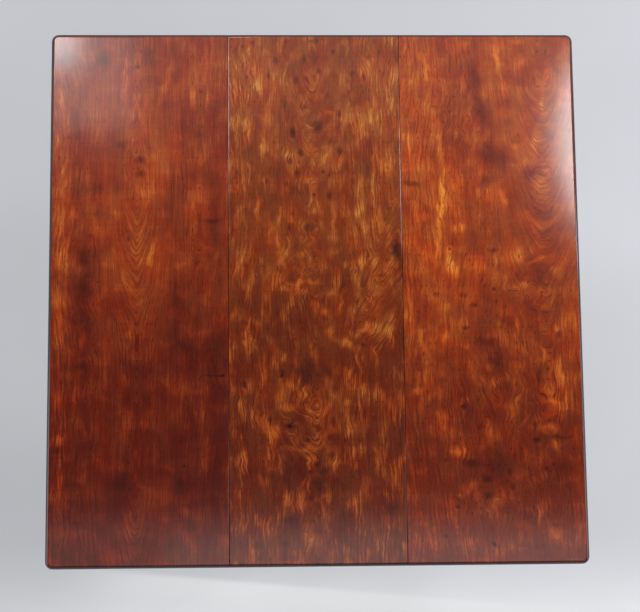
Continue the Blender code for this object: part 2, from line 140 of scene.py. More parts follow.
def span(tree, value, low, high, bottom=0.0, top=1.0, smooth=True):
    kind = "SMOOTHSTEP" if smooth else "LINEAR"
    inputs = {"Value": value, "From Min": low, "From Max": high, "To Min": bottom, "To Max": top}
    return put(tree, "MapRange", inputs, interpolation_type=kind, clamp=not smooth).outputs[0]


def blendColour(tree, factor, first, second, mode="MIX"):
    return put(tree, "Mix", {0: factor, 6: first, 7: second}, data_type="RGBA", blend_type=mode).outputs[2]


def blendValue(tree, factor, first, second):
    return put(tree, "Mix", {0: factor, 2: first, 3: second}).outputs[0]


def noise(tree, place, scale, detail=2.0, roughness=0.5):
    inputs = {"Vector": place, "Scale": scale, "Detail": detail, "Roughness": roughness}
    return put(tree, "TexNoise", inputs).outputs[0]


def drawnNoise(tree, place, pitch, detail=2.0, roughness=0.5):  # with its own pitch along each axis
    return noise(tree, vector(tree, "MULTIPLY", place, pitch), 1.0, detail, roughness)


def addTone(tree, tone, source, amount):  # 0.5 in the source leaves the tone as it is
    return calc(tree, "MULTIPLY_ADD", calc(tree, "SUBTRACT", source, 0.5), amount, tone)


def ramp(tree, value, places, colours):
    node = put(tree, "ValToRGB", {0: value})
    points = node.color_ramp.elements
    while len(points) < len(places):
        points.new(0.5)
    for point, place, colour in zip(points, places, colours):
        point.position = place
        point.color = tint(*colour)
    return node.outputs[0]


# Shared groups. figureShape says what a placed spot does to the wood, and grainRuns what makes up the grain.

spotLabels = ("Place", "Centre", "Across", "Along")
vectorLabels = spotLabels + ("Half", "Bent")  # every other socket carries a number

figureShape = {
    "halo": 2.6,  # how far a knot leads the fibres aside, in its own radii
    "knotRim": 0.28, "burrFade": 0.7, "ridge": 0.24, "hollow": (0.2, 0.5), "hollowDepth": 0.6,
    "poreEdge": (0.66, 0.74),
}
grainRuns = {  # pitch across, a factor on it, a factor on the pitch along, detail, roughness
    "Fibre": ("Fine", 1.0, 2.5, 1.0, 0.5),
    "Streak": ("Streaks", 1.0, 1.0, 3.0, 0.6),
    "Band": ("Bands", 1.0, 0.45, 2.0, 0.5),
    "Pore": ("Fine", 1.5, 9.0, 0.0, 0.5),
}


def startGroup(name, inputs, outputs):
    tree = bpy.data.node_groups.new(name, "ShaderNodeTree")
    for way, labels in (("INPUT", inputs), ("OUTPUT", outputs)):
        for label in labels:
            kind = "NodeSocketVector" if label in vectorLabels else "NodeSocketFloat"
            tree.interface.new_socket(label, in_out=way, socket_type=kind)
    return tree, tree.nodes.new("NodeGroupInput").outputs, tree.nodes.new("NodeGroupOutput").inputs


def useGroup(tree, group, **inputs):
    return put(tree, "Group", inputs, node_tree=group).outputs


def makeSpotGroup():  # where a point is in a turned ellipse: 0 in its middle, 1 on its rim
    tree, given, out = startGroup("placedSpot", spotLabels, ("Inside", "Around", "Aside", "Ahead"))
    moved = vector(tree, "SUBTRACT", given["Place"], given["Centre"])
    aside, ahead = measure(tree, moved, given["Across"]), measure(tree, moved, given["Along"])
    around = calc(tree, "SQRT", calc(tree, "MULTIPLY_ADD", ahead, ahead, times(tree, aside, aside)))
    inside = span(tree, around, 1.0, 0.0)
    wire(tree, out, {"Inside": inside, "Around": around, "Aside": aside, "Ahead": ahead})
    return tree


def useSpot(tree, given, spot):
    return useGroup(tree, spot, **{label: given[label] for label in spotLabels})


def makeTouchGroup(spot):  # a lighter or darker place, broken up by the fibres
    tree, given, out = startGroup("touch", spotLabels + ("Tone", "Fibre", "Gain", "Grainy"), ("Tone",))
    inside = useSpot(tree, given, spot)["Inside"]
    gain = times(tree, blendValue(tree, given["Grainy"], 1.0, given["Fibre"]), given["Gain"])
    wire(tree, out, {"Tone": calc(tree, "MULTIPLY_ADD", inside, gain, given["Tone"])})
    return tree


def makeKnotGroup(spot):  # an eye: dark inside, with the fibres led round it
    tree, given, out = startGroup("knot", spotLabels + ("Tone", "Gain", "Push"), ("Bent", "Tone"))
    found = useSpot(tree, given, spot)
    core = found["Inside"]
    halo = span(tree, found["Around"], figureShape["halo"], 0.0)
    aside = measure(tree, vector(tree, "SUBTRACT", given["Place"], given["Centre"]), (1, 0, 0))
    shift = times(tree, times(tree, aside, halo), given["Push"])
    bend = put(tree, "VectorMath", {0: (-1, 0, 0), "Scale": shift}, operation="SCALE").outputs[0]
    rim = times(tree, calc(tree, "SUBTRACT", halo, core), figureShape["knotRim"])
    lift = calc(tree, "SUBTRACT", core, rim)
    wire(tree, out, {
        "Bent": vector(tree, "ADD", given["Place"], bend),
        "Tone": calc(tree, "MULTIPLY_ADD", lift, given["Gain"], given["Tone"]),
    })
    return tree


def makeFlameGroup(spot):  # fibres that meet in nested arches on an axis, as in a plank cut near the heart
    tree, given, out = startGroup("flame", spotLabels + ("Line", "Rise"), ("Line",))
    found = useSpot(tree, given, spot)
    climb = span(tree, found["Ahead"], -1.0, 1.0, smooth=False)
    narrow = span(tree, times(tree, found["Aside"], found["Aside"]), 1.0, 0.0)
    drop = times(tree, times(tree, climb, narrow), given["Rise"])
    wire(tree, out, {"Line": calc(tree, "SUBTRACT", given["Line"], drop)})
    return tree


def makeBurrGroup(spot):  # dark cells between pale ridges
    tree, given, out = startGroup("burr", spotLabels + ("Tone", "Cells", "Gain"), ("Tone",))
    mask = span(tree, useSpot(tree, given, spot)["Around"], 1.0, figureShape["burrFade"])
    ridge = span(tree, given["Cells"], figureShape["ridge"], 0.0)
    hollow = span(tree, given["Cells"], *figureShape["hollow"])
    shape = calc(tree, "SUBTRACT", ridge, times(tree, hollow, figureShape["hollowDepth"]))
    added = times(tree, times(tree, shape, mask), given["Gain"])
    wire(tree, out, {"Tone": calc(tree, "ADD", given["Tone"], added)})
    return tree


def makeGrainGroup():  # fibres run along Y of the place that comes in
    labels = ("Place", "Fine", "Streaks", "Bands", "Lengthways")
    tree, given, out = startGroup("mahoganyGrain", labels, tuple(grainRuns))
    runs = {}
    for label, (pitch, finer, longer, detail, roughness) in grainRuns.items():
        across, along = times(tree, given[pitch], finer), times(tree, given["Lengthways"], longer)
        pitches = combined(tree, across, along, across)
        runs[label] = drawnNoise(tree, given["Place"], pitches, detail, roughness)
    runs["Pore"] = span(tree, runs["Pore"], *figureShape["poreEdge"])
    wire(tree, out, runs)
    return tree


def makeRimGroup():  # how near a point is to the outline of the whole top, which has rounded corners
    tree, given, out = startGroup("outlineRim", ("Place", "Half", "Corner", "Inner", "Outer"), ("Rim",))
    corner = given["Corner"]
    room = vector(tree, "SUBTRACT", given["Half"], combined(tree, corner, corner))
    past = parted(tree, vector(tree, "SUBTRACT", vector(tree, "ABSOLUTE", given["Place"]), room))
    outside = combined(tree, calc(tree, "MAXIMUM", past[0], 0.0), calc(tree, "MAXIMUM", past[1], 0.0))
    far = put(tree, "VectorMath", {0: outside}, operation="LENGTH").outputs["Value"]
    within = calc(tree, "MINIMUM", calc(tree, "MAXIMUM", past[0], past[1]), 0.0)
    distance = calc(tree, "SUBTRACT", calc(tree, "ADD", far, within), corner)
    inner, outer = times(tree, given["Inner"], -1.0), times(tree, given["Outer"], -1.0)
    wire(tree, out, {"Rim": span(tree, distance, inner, outer)})
    return tree


spotGroup = makeSpotGroup()
touchGroup = makeTouchGroup(spotGroup)
knotGroup = makeKnotGroup(spotGroup)
flameGroup = makeFlameGroup(spotGroup)
burrGroup = makeBurrGroup(spotGroup)
grainGroup = makeGrainGroup()
rimGroup = makeRimGroup()
print("node groups ready")


def startMaterial(name, slotName=None):
    material = bpy.data.materials.new(name)
    material.use_nodes = True
    tree = material.node_tree
    place = tree.nodes.new("ShaderNodeTexCoord").outputs["Object"]
    return material, tree, tree.nodes["Principled BSDF"].inputs, place


# The three boards. Every entry is (across, down, half width, half length, lean in degrees), in steps of the
# picture, with lean clockwise from upright, and then its own numbers:
#   flames: how steep the arches are        knots: gain, and how far they push the fibres aside
#   swirls: how far the fibres wander       burrs: cells to the metre, gain
#   touches: gain, how far the fibres break it up        and the spots of painted shade: how much of the darker second ramp shows
# The two ramps are the wood's colours and a darker copy of them for painted shade, which comes in over the
# given rows towards the bottom.

pictureStep = 0.00153

leftLeaf = {
    "seed": (3.1, 1.7, 0.0),
    "litAndShadedRamps": (
        ((46, 14, 7), (96, 31, 12), (138, 52, 18), (170, 76, 24), (214, 124, 44)),
        ((34, 8, 5), (70, 18, 8), (96, 28, 11), (130, 46, 14), (184, 88, 28)),
    ),
    "axis": 137,
    "round": 0.003,
    "flames": ((137, 262, 34, 62, 0, 3.4), (137, 545, 40, 45, 0, 3.0), (208, 262, 16, 18, 0, 2.0)),
    "mottle": (12, 30.0, 38.0),
    "shadeFalloff": (190, 420),
    "paintedShade": ((90, 275, 30, 70, 0, 0.4), (216, 300, 20, 230, 0, 0.5)),
    "amounts": {
        "fibre": 0.16, "streak": 0.21, "mottle": 0.14, "cloud": 0.18, "band": 0.12, "speckle": 0.12,
        "flash": 0.05, "swirl": 0.004, "hue": 0.7, "lift": 0.5,
    },
    "knots": (
        (141, 160, 9, 6, 0, -0.16, 0.2), (141, 174, 9, 6, 0, -0.17, 0.2), (120, 145, 7, 5, 0, -0.12, 0.3),
        (128, 239, 3, 4, 0, -0.14, 0.3),
    ),
    "swirls": ((84, 330, 30, 150, 0, 0.01), (190, 330, 30, 90, 0, 0.014), (140, 160, 40, 60, 0, 0.01)),
    "burrs": (),
    "touches": (
        (125, 79, 4.5, 42, 5, 0.2, 0.5), (165, 87, 5, 26, 15, 0.2, 0.5), (65, 178, 4.5, 24, 6, 0.17, 0.5),
        (61, 300, 9, 270, 0, 0.1, 0.6), (57, 399, 6, 11, 0, 0.17, 0.4), (57, 440, 6, 8, 0, 0.19, 0.4),
        (58, 463, 5, 8, 0, 0.17, 0.4), (60, 487, 3.5, 14, 0, 0.14, 0.5), (97, 191, 12, 13, 0, -0.15, 0.3),
        (84, 280, 15, 50, 0, -0.12, 0.3), (182, 310, 24, 48, 0, -0.05, 0.3),
        (137, 264, 26, 62, 0, 0.1, 0.3), (152, 253, 4, 17, 22, 0.22, 0.5), (134, 357, 6, 9, 0, 0.2, 0.1),
        (130, 335, 4, 34, 8, 0.1, 0.5), (217, 300, 12, 220, 0, -0.12, 0.3), (73, 215, 4, 12, 0, 0.17, 0.4),
        (116, 214, 4, 9, 0, 0.19, 0.3), (66, 247, 4.5, 15, 5, 0.17, 0.5), (83, 341, 5, 8, 0, 0.24, 0.2),
        (81, 357, 3.5, 6, 0, 0.14, 0.2), (54, 337, 4, 14, 0, 0.12, 0.4), (215, 256, 4, 9, 5, 0.17, 0.3),
        (206, 333, 12, 8, 0, 0.12, 0.2), (122, 372, 3.5, 14, -6, 0.12, 0.4),
        (82, 259, 8, 12, 0, -0.09, 0.3), (196, 262, 4, 8, 0, -0.12, 0.2), (211, 220, 12, 4, 0, -0.14, 0.1),
        (183, 345, 16, 12, 0, -0.1, 0.2), (84, 367, 16, 7, 0, -0.12, 0.2), (72, 325, 5, 12, 0, -0.12, 0.2),
        (75, 395, 4.5, 14, 0, 0.12, 0.4), (137, 402, 7, 12, 0, 0.09, 0.3), (204, 406, 5, 16, 5, 0.1, 0.3),
        (141, 465, 4, 7, 10, 0.1, 0.3), (131, 470, 5, 6, 0, 0.1, 0.2), (205, 456, 6, 22, 0, 0.09, 0.4),
        (54, 451, 9, 4, 0, -0.17, 0.1), (69, 468, 7, 8, 0, -0.1, 0.1), (118, 487, 11, 28, 0, -0.1, 0.3),
        (184, 438, 18, 18, 0, -0.1, 0.2), (186, 488, 18, 24, 0, -0.12, 0.2),
        (218, 483, 8, 48, 0, -0.12, 0.3), (190, 412, 18, 3, 80, -0.09, 0.1),
        (88, 447, 8, 18, 0, -0.09, 0.2), (165, 165, 26, 60, 0, 0.07, 0.3), (60, 120, 12, 60, 0, 0.07, 0.5),
        (209, 376, 1.2, 20, 73, -0.17, 0.0), (222, 374, 3.5, 1.8, 0, -0.59, 0.0),
        (184, 463, 1.6, 1.6, 0, -0.42, 0.0), (170, 60, 3, 30, 4, 0.09, 0.5),
        (104, 60, 14, 14, 40, -0.1, 0.3), (178, 70, 14, 12, 0, -0.08, 0.3), (205, 70, 26, 50, 0, 0.09, 0.4),
        (140, 110, 30, 40, 0, 0.07, 0.4), (130, 350, 34, 26, 0, 0.05, 0.3),
        (137, 130, 26, 34, 0, 0.07, 0.4), (140, 200, 26, 30, 0, 0.09, 0.4),
        (66, 202, 20, 22, 0, -0.07, 0.3), (62, 58, 22, 18, 0, -0.12, 0.2), (100, 66, 10, 18, 0, -0.08, 0.3),
        (186, 360, 26, 26, 0, -0.06, 0.3), (137, 480, 60, 16, 0, -0.08, 0.2),
    ),
}

centreBoard = {
    "seed": (0.0, 0.0, 0.0),
    "litAndShadedRamps": (
        ((56, 22, 10), (104, 42, 16), (142, 64, 22), (172, 90, 32), (202, 134, 60)),
        ((38, 12, 6), (76, 24, 10), (106, 40, 13), (146, 66, 21), (184, 106, 40)),
    ),
    "axis": 318,
    "round": 0.003,
    "flames": ((318, 110, 30, 52, 0, 2.0), (303, 434, 40, 26, 0, 1.4), (384, 300, 26, 50, 20, 1.6)),
    "mottle": (-26, 46.0, 26.0),
    "shadeFalloff": (90, 430),
    "paintedShade": ((318, 370, 120, 70, 0, 0.8),),
    "amounts": {
        "fibre": 0.14, "streak": 0.21, "mottle": 0.18, "cloud": 0.14, "band": 0.08, "speckle": 0.12,
        "flash": 0.14, "swirl": 0.007, "hue": 0.7, "lift": 0.47,
    },
    "knots": (
        (293, 132, 4.5, 9, 4, -0.29, 0.7), (301, 152, 4, 7, 0, -0.26, 0.6),
        (289, 161, 6.5, 5, 50, -0.24, 0.5), (297, 172, 4.5, 7.5, 8, -0.29, 0.6),
        (339, 114, 5, 6.5, 0, -0.22, 0.5), (339, 151, 4.5, 7.5, 0, -0.22, 0.6),
        (369, 57, 3.5, 6.5, 5, -0.27, 0.7), (364, 77, 4, 6.5, 0, -0.21, 0.6),
        (353, 73, 4, 4.5, 0, -0.17, 0.4), (333, 52, 3.5, 5, 0, -0.2, 0.4), (304, 59, 4, 9, 0, -0.2, 0.5),
        (276, 61, 5.5, 7, 0, -0.18, 0.4), (269, 76, 4.5, 6.5, 0, -0.2, 0.4), (296, 80, 4, 7, 0, -0.2, 0.5),
        (307, 80, 4, 7, 0, -0.14, 0.4), (319, 71, 4, 5, 0, -0.15, 0.4), (252, 43, 4, 4.5, 0, -0.17, 0.3),
        (286, 41, 4.5, 5, 0, -0.17, 0.3), (317, 41, 3.5, 5.5, 0, -0.17, 0.3),
        (375, 42, 4, 5, 0, -0.15, 0.3), (328, 96, 4.5, 6, 0, -0.12, 0.4), (304, 107, 6, 6.5, 0, -0.2, 0.4),
        (284, 103, 5, 9, 0, -0.11, 0.3), (318, 126, 8, 11, 8, -0.26, 0.5), (332, 142, 6, 7, 20, -0.17, 0.4),
        (323, 172, 3, 3.5, 0, -0.24, 0.4), (329, 175, 3, 4, 0, -0.14, 0.3),
        (267, 181, 3, 4.5, 0, -0.18, 0.4), (286, 184, 4, 5, 0, -0.14, 0.3),
        (329, 196, 4.5, 7, 0, -0.2, 0.4), (388, 168, 2, 3, 0, -0.2, 0.3), (354, 181, 4.5, 6, 0, -0.14, 0.3),
        (244, 127, 7, 5, 0, -0.11, 0.3), (267, 153, 4, 7, 0, -0.11, 0.3), (368, 100, 5, 7, 0, -0.11, 0.3),
        (308, 227, 9, 7, 0, -0.15, 0.3), (344, 222, 4.5, 8, 0, -0.12, 0.4),
        (290, 226, 4.5, 6, 0, -0.14, 0.3), (367, 254, 9, 8, 30, -0.12, 0.4),
        (290, 426, 8, 8, 0, -0.21, 0.6), (270, 420, 3.5, 5, 0, -0.26, 0.5), (319, 429, 5, 6, 0, -0.22, 0.5),
        (333, 422, 4, 8, 0, -0.17, 0.5), (308, 440, 3.5, 4, 0, -0.18, 0.3), (318, 464, 5, 5, 0, -0.22, 0.5),
        (332, 456, 4.5, 7, 0, -0.17, 0.4), (311, 472, 4, 4, 0, -0.15, 0.3),
        (325, 318, 4.5, 5, 0, -0.15, 0.4), (244, 385, 5, 5, 0, -0.15, 0.3),
        (290, 489, 3.5, 12, 0, -0.11, 0.3), (282, 373, 4, 7, 0, -0.18, 0.4),
        (335, 389, 6, 7, 0, -0.12, 0.3), (330, 437, 5, 5, 0, -0.12, 0.3),
    ),
    "swirls": (
        (318, 130, 44, 60, 6, 0.035), (300, 430, 60, 66, 0, 0.026), (300, 264, 46, 50, 0, 0.035),
        (360, 300, 50, 90, 0, 0.02), (318, 70, 90, 60, 0, 0.015),
    ),
    "burrs": ((300, 264, 30, 36, 8, 44.0, 0.1), (312, 440, 60, 60, 0, 40.0, 0.06)),
    "touches": (
        (260, 84, 3, 15, 0, 0.21, 0.5), (391, 79, 3.5, 16, 5, 0.24, 0.5), (389, 103, 4, 16, 10, 0.19, 0.6),
        (373, 107, 3, 22, 8, 0.16, 0.6), (360, 122, 6.5, 18, 5, 0.19, 0.4), (359, 142, 4, 14, 0, 0.16, 0.5),
        (343, 127, 2.4, 12, 12, 0.22, 0.3), (235, 132, 3, 22, 0, 0.21, 0.5),
        (249, 134, 4, 14, 0, 0.19, 0.5), (262, 147, 3, 14, 0, 0.19, 0.5), (330, 112, 7, 3, 0, 0.18, 0.1),
        (326, 158, 2.4, 10, 32, 0.21, 0.3), (340, 161, 3, 11, 30, 0.24, 0.3),
        (316, 148, 13, 2.4, 0, 0.13, 0.0), (332, 182, 4, 9, 25, 0.21, 0.3), (360, 193, 5, 13, 0, 0.26, 0.4),
        (311, 180, 13, 4, 4, 0.18, 0.1), (258, 206, 4, 18, 3, 0.24, 0.5), (240, 90, 12, 60, 0, 0.08, 0.7),
        (360, 212, 5, 14, 0, 0.24, 0.4), (334, 214, 3.4, 12, 0, 0.22, 0.4), (364, 225, 5, 9, 0, 0.19, 0.4),
        (314, 213, 8, 4, 0, 0.16, 0.1), (291, 219, 4, 7, 0, 0.18, 0.2), (279, 221, 3, 6, 0, 0.21, 0.2),
        (246, 253, 7, 12, 0, 0.19, 0.5), (277, 240, 2.6, 8, -8, 0.26, 0.1),
        (281, 262, 2.8, 9, -8, 0.22, 0.1), (332, 252, 7, 9, 30, 0.19, 0.4), (346, 263, 5, 6, 0, 0.21, 0.3),
        (359, 263, 7, 6, 0, 0.22, 0.3), (374, 266, 3.5, 10, 20, 0.22, 0.3), (370, 284, 3, 12, 8, 0.16, 0.5),
        (285, 288, 6, 5, 0, 0.21, 0.2), (300, 283, 13, 3, -3, 0.24, 0.0), (315, 282, 8, 3, 6, 0.21, 0.0),
        (331, 293, 5, 7, 30, 0.21, 0.3), (252, 277, 5, 16, 0, 0.14, 0.5), (249, 309, 3, 20, 0, 0.18, 0.6),
        (247, 342, 5, 24, 0, 0.21, 0.6), (351, 316, 5, 11, 15, 0.21, 0.3), (370, 327, 8, 9, 0, 0.22, 0.3),
        (389, 332, 5, 9, 25, 0.22, 0.3), (348, 344, 10, 5, 40, 0.22, 0.2), (331, 330, 5, 9, 25, 0.21, 0.3),
        (325, 312, 4, 4, 0, 0.18, 0.1), (359, 362, 3, 18, -5, 0.22, 0.5), (284, 357, 3.5, 6, 0, 0.18, 0.2),
        (271, 344, 4, 9, 0, 0.1, 0.3), (275, 360, 3, 12, -5, 0.1, 0.4), (244, 405, 6, 22, 0, 0.22, 0.5),
        (245, 461, 7, 14, -5, 0.19, 0.3), (242, 490, 3, 20, 0, 0.14, 0.5), (262, 421, 6, 8, 0, 0.18, 0.3),
        (273, 433, 10, 9, 0, 0.19, 0.2), (287, 409, 9, 5, -35, 0.22, 0.1), (326, 410, 4, 11, 35, 0.21, 0.2),
        (347, 401, 7, 6, 0, 0.19, 0.2), (360, 408, 3, 16, 5, 0.19, 0.4), (356, 426, 12, 11, 0, 0.19, 0.2),
        (363, 391, 3, 9, 0, 0.19, 0.4), (385, 421, 9, 11, 0, 0.13, 0.2), (373, 415, 3, 3, 0, 0.16, 0.0),
        (385, 474, 5, 10, 0, 0.27, 0.2), (386, 494, 2.4, 14, 0, 0.21, 0.4),
        (384, 456, 3, 10, -12, 0.19, 0.3), (322, 476, 12, 5, -10, 0.19, 0.1),
        (336, 467, 3, 9, 30, 0.19, 0.2), (348, 460, 4, 10, -10, 0.16, 0.4), (272, 470, 5, 7, 40, 0.18, 0.1),
        (265, 484, 4, 6, 0, 0.14, 0.2), (323, 498, 3, 3, 0, 0.19, 0.0), (300, 449, 30, 4, 0, 0.16, 0.0),
        (309, 541, 8, 9, 0, 0.11, 0.2), (363, 516, 2.4, 12, 0, 0.13, 0.4), (387, 516, 4, 8, 0, 0.13, 0.3),
        (260, 524, 5, 14, 8, 0.08, 0.5), (397, 249, 5, 15, 0, -0.4, 0.1), (401, 272, 3, 22, 0, -0.21, 0.2),
        (290, 424, 2, 1.6, 0, -0.56, 0.0), (282, 377, 2, 2, 0, -0.32, 0.0), (323, 302, 8, 6, 0, -0.19, 0.1),
        (304, 297, 7, 7, 0, -0.14, 0.1), (290, 325, 26, 30, 0, -0.11, 0.2),
        (373, 318, 12, 5, 20, -0.11, 0.2), (396, 296, 6, 12, 0, -0.16, 0.2),
        (363, 346, 3, 2.6, 0, -0.21, 0.1), (310, 372, 34, 16, 0, -0.13, 0.2),
        (348, 440, 14, 10, 0, -0.13, 0.2), (386, 507, 20, 12, 0, -0.11, 0.2),
        (290, 521, 16, 4, 0, -0.11, 0.1), (257, 544, 6, 5, 0, -0.11, 0.1), (285, 544, 5, 5, 0, -0.11, 0.1),
        (341, 541, 11, 5, 20, -0.11, 0.1), (304, 404, 1.6, 9, 0, -0.19, 0.2),
        (313, 497, 4, 14, 0, -0.13, 0.2), (297, 190, 20, 8, 0, -0.08, 0.2),
        (390, 200, 14, 30, 0, -0.06, 0.3), (270, 110, 14, 26, 0, -0.05, 0.4),
        (370, 152, 3, 34, 2, -0.13, 0.4), (380, 110, 26, 60, 0, 0.1, 0.5), (376, 220, 30, 90, 0, 0.11, 0.5),
        (258, 60, 34, 40, 0, 0.08, 0.5), (318, 476, 40, 22, 0, -0.16, 0.2),
        (318, 400, 90, 20, 0, 0.11, 0.5), (264, 92, 26, 44, 0, 0.09, 0.5), (384, 162, 16, 20, 0, 0.1, 0.5),
        (380, 318, 26, 24, 0, 0.11, 0.4), (384, 60, 16, 50, 0, 0.05, 0.4),
        (318, 122, 22, 16, 0, -0.08, 0.3), (264, 480, 30, 18, 0, -0.08, 0.3),
        (380, 282, 26, 18, 0, 0.06, 0.4), (384, 480, 20, 18, 0, -0.06, 0.3),
    ),
}

rightLeaf = {
    "seed": (7.3, 4.2, 0.0),
    "litAndShadedRamps": (
        ((60, 18, 9), (116, 40, 15), (156, 64, 20), (190, 90, 26), (228, 140, 48)),
        ((42, 10, 6), (82, 24, 10), (112, 38, 13), (150, 60, 17), (204, 108, 36)),
    ),
    "axis": 550,
    "round": 0.016,
    "flames": ((550, 186, 62, 100, -4, 2.0),),
    "mottle": (8, 30.0, 36.0),
    "shadeFalloff": (240, 440),
    "paintedShade": ((540, 330, 70, 140, 0, 0.6), (486, 350, 40, 70, 0, 0.6)),
    "amounts": {
        "fibre": 0.15, "streak": 0.2, "mottle": 0.14, "cloud": 0.17, "band": 0.12, "speckle": 0.11,
        "flash": 0.07, "swirl": 0.005, "hue": 0.7, "lift": 0.5,
    },
    "knots": (
        (418, 138, 2.4, 3, 0, -0.18, 0.4), (450, 249, 2.6, 2.2, 0, -0.38, 0.4),
        (519, 256, 2, 4, 0, -0.26, 0.5), (494, 289, 3.4, 3, 0, -0.24, 0.4),
        (475, 305, 8, 3.4, 0, -0.21, 0.3), (494, 250, 8, 4, -10, -0.18, 0.3),
        (465, 328, 5, 4, 0, -0.21, 0.3), (436, 294, 7, 4, 0, -0.18, 0.3), (463, 295, 9, 5, 0, -0.15, 0.3),
        (542, 292, 3, 2.4, 0, -0.18, 0.2), (559, 334, 4, 6, 10, -0.22, 0.3), (464, 406, 4, 5, 0, -0.2, 0.4),
        (537, 440, 6, 4.5, 0, -0.26, 0.3), (487, 479, 8, 6, 0, -0.2, 0.3), (510, 472, 4, 6, 0, -0.21, 0.3),
        (513, 487, 4.5, 6, 0, -0.2, 0.3), (490, 496, 11, 6, 0, -0.21, 0.3),
        (458, 507, 4, 3.4, 0, -0.2, 0.3), (547, 468, 4, 4.5, 0, -0.18, 0.3),
        (446, 460, 4.5, 3, 0, -0.17, 0.3), (481, 426, 6, 6, 0, -0.12, 0.3),
        (518, 135, 3.5, 4, 0, -0.17, 0.4), (505, 386, 13, 8, 0, -0.14, 0.3),
        (535, 425, 3, 5, 0, -0.18, 0.3),
    ),
    "swirls": (
        (524, 284, 40, 50, 0, 0.03), (490, 490, 60, 60, 0, 0.02), (500, 402, 50, 46, 0, 0.018),
        (480, 130, 60, 60, 0, 0.012),
    ),
    "burrs": (),
    "touches": (
        (497, 58, 5, 24, -8, 0.32, 0.4), (503, 86, 4, 14, -10, 0.2, 0.4), (424, 57, 6, 22, -4, 0.18, 0.4),
        (409, 64, 4, 16, 0, 0.16, 0.5), (409, 146, 5, 18, 0, 0.24, 0.4), (441, 150, 4, 30, -3, 0.16, 0.5),
        (443, 192, 5, 28, -4, 0.34, 0.4), (443, 89, 4, 18, 0, 0.18, 0.5), (477, 192, 3.5, 9, 0, 0.26, 0.3),
        (504, 200, 4, 13, -12, 0.28, 0.4), (516, 148, 9, 10, -30, 0.22, 0.3),
        (523, 160, 5, 9, -30, 0.22, 0.3), (536, 141, 5, 20, 10, 0.24, 0.4), (542, 102, 3, 22, 4, 0.16, 0.4),
        (520, 61, 9, 10, 0, 0.2, 0.2), (517, 41, 10, 4, 0, 0.18, 0.2), (440, 214, 5, 16, 3, 0.3, 0.4),
        (453, 229, 4, 8, 0, 0.26, 0.3), (422, 217, 9, 10, 0, 0.22, 0.2), (463, 229, 5, 6, 0, 0.18, 0.2),
        (450, 262, 5, 20, -3, 0.34, 0.4), (439, 252, 4, 24, 0, 0.2, 0.5), (457, 272, 6, 9, 10, 0.26, 0.3),
        (496, 260, 4, 7, 0, 0.16, 0.3), (516, 250, 8, 14, 0, 0.2, 0.2), (523, 283, 5, 5, 0, 0.3, 0.1),
        (557, 273, 8, 7, 0, 0.18, 0.2), (537, 260, 3, 14, 68, 0.24, 0.1), (445, 308, 5, 10, 0, 0.22, 0.3),
        (422, 341, 4, 15, 0, 0.26, 0.4), (445, 336, 4, 13, 0, 0.22, 0.4), (489, 366, 4, 6, 0, 0.26, 0.1),
        (554, 328, 4, 7, 10, 0.24, 0.1), (561, 378, 5, 6, 0, 0.2, 0.1), (576, 331, 4, 12, 0, 0.18, 0.3),
        (517, 328, 4, 16, 0, 0.16, 0.4), (545, 350, 3, 12, 20, 0.16, 0.3), (466, 348, 4, 6, -20, 0.22, 0.1),
        (417, 389, 4, 8, 0, 0.26, 0.2), (458, 450, 9, 6, 0, 0.28, 0.2), (549, 428, 14, 5, 0, 0.28, 0.1),
        (556, 446, 6, 8, 0, 0.24, 0.2), (541, 518, 3.6, 8, 0, 0.28, 0.2), (475, 487, 5, 6, 0, 0.18, 0.1),
        (459, 498, 4, 5, 0, 0.2, 0.1), (438, 394, 9, 9, 0, 0.18, 0.2), (552, 400, 9, 5, 0, 0.2, 0.1),
        (525, 418, 3, 11, 42, 0.18, 0.1), (410, 300, 6, 60, 0, 0.12, 0.6), (412, 250, 8, 30, 0, 0.14, 0.4),
        (450, 420, 18, 26, 0, 0.08, 0.3), (475, 74, 8, 42, 0, -0.22, 0.3),
        (480, 113, 10, 22, -8, -0.24, 0.3), (488, 146, 8, 16, 0, -0.16, 0.3),
        (467, 146, 5, 10, 0, -0.12, 0.3), (532, 175, 12, 8, 0, -0.2, 0.2), (485, 183, 7, 8, 0, -0.18, 0.2),
        (425, 205, 8, 7, 0, -0.12, 0.2), (412, 183, 10, 4, 5, -0.2, 0.1), (508, 323, 8, 11, 0, -0.16, 0.2),
        (486, 341, 20, 6, 0, -0.16, 0.2), (497, 356, 9, 18, 0, -0.14, 0.3), (538, 279, 7, 9, 0, -0.16, 0.2),
        (470, 462, 11, 6, 0, -0.22, 0.2), (528, 516, 8, 8, 0, -0.2, 0.2),
        (494, 543, 2.6, 2.2, 0, -0.5, 0.0), (445, 537, 2.4, 2, 0, -0.34, 0.0),
        (561, 436, 14, 4, 0, -0.18, 0.1), (538, 409, 14, 7, 0, -0.14, 0.2),
        (560, 470, 20, 40, 0, -0.12, 0.3), (520, 205, 26, 10, 40, -0.08, 0.2),
        (536, 545, 16, 6, 0, -0.1, 0.1), (548, 230, 26, 30, 0, -0.08, 0.2),
        (428, 190, 26, 80, 0, 0.06, 0.5), (560, 382, 26, 36, 0, 0.14, 0.4),
        (490, 160, 24, 26, 0, -0.15, 0.2), (492, 310, 28, 38, 0, -0.14, 0.2),
        (492, 470, 34, 26, 0, -0.18, 0.2), (428, 80, 26, 60, 0, 0.07, 0.4),
        (490, 236, 26, 20, 0, -0.08, 0.3), (438, 322, 20, 20, 0, -0.08, 0.3),
        (490, 360, 26, 18, 0, -0.08, 0.3), (552, 402, 24, 22, 0, 0.14, 0.3),
        (440, 240, 20, 20, 0, 0.06, 0.4), (548, 240, 26, 20, 0, 0.05, 0.4),
    ),
}

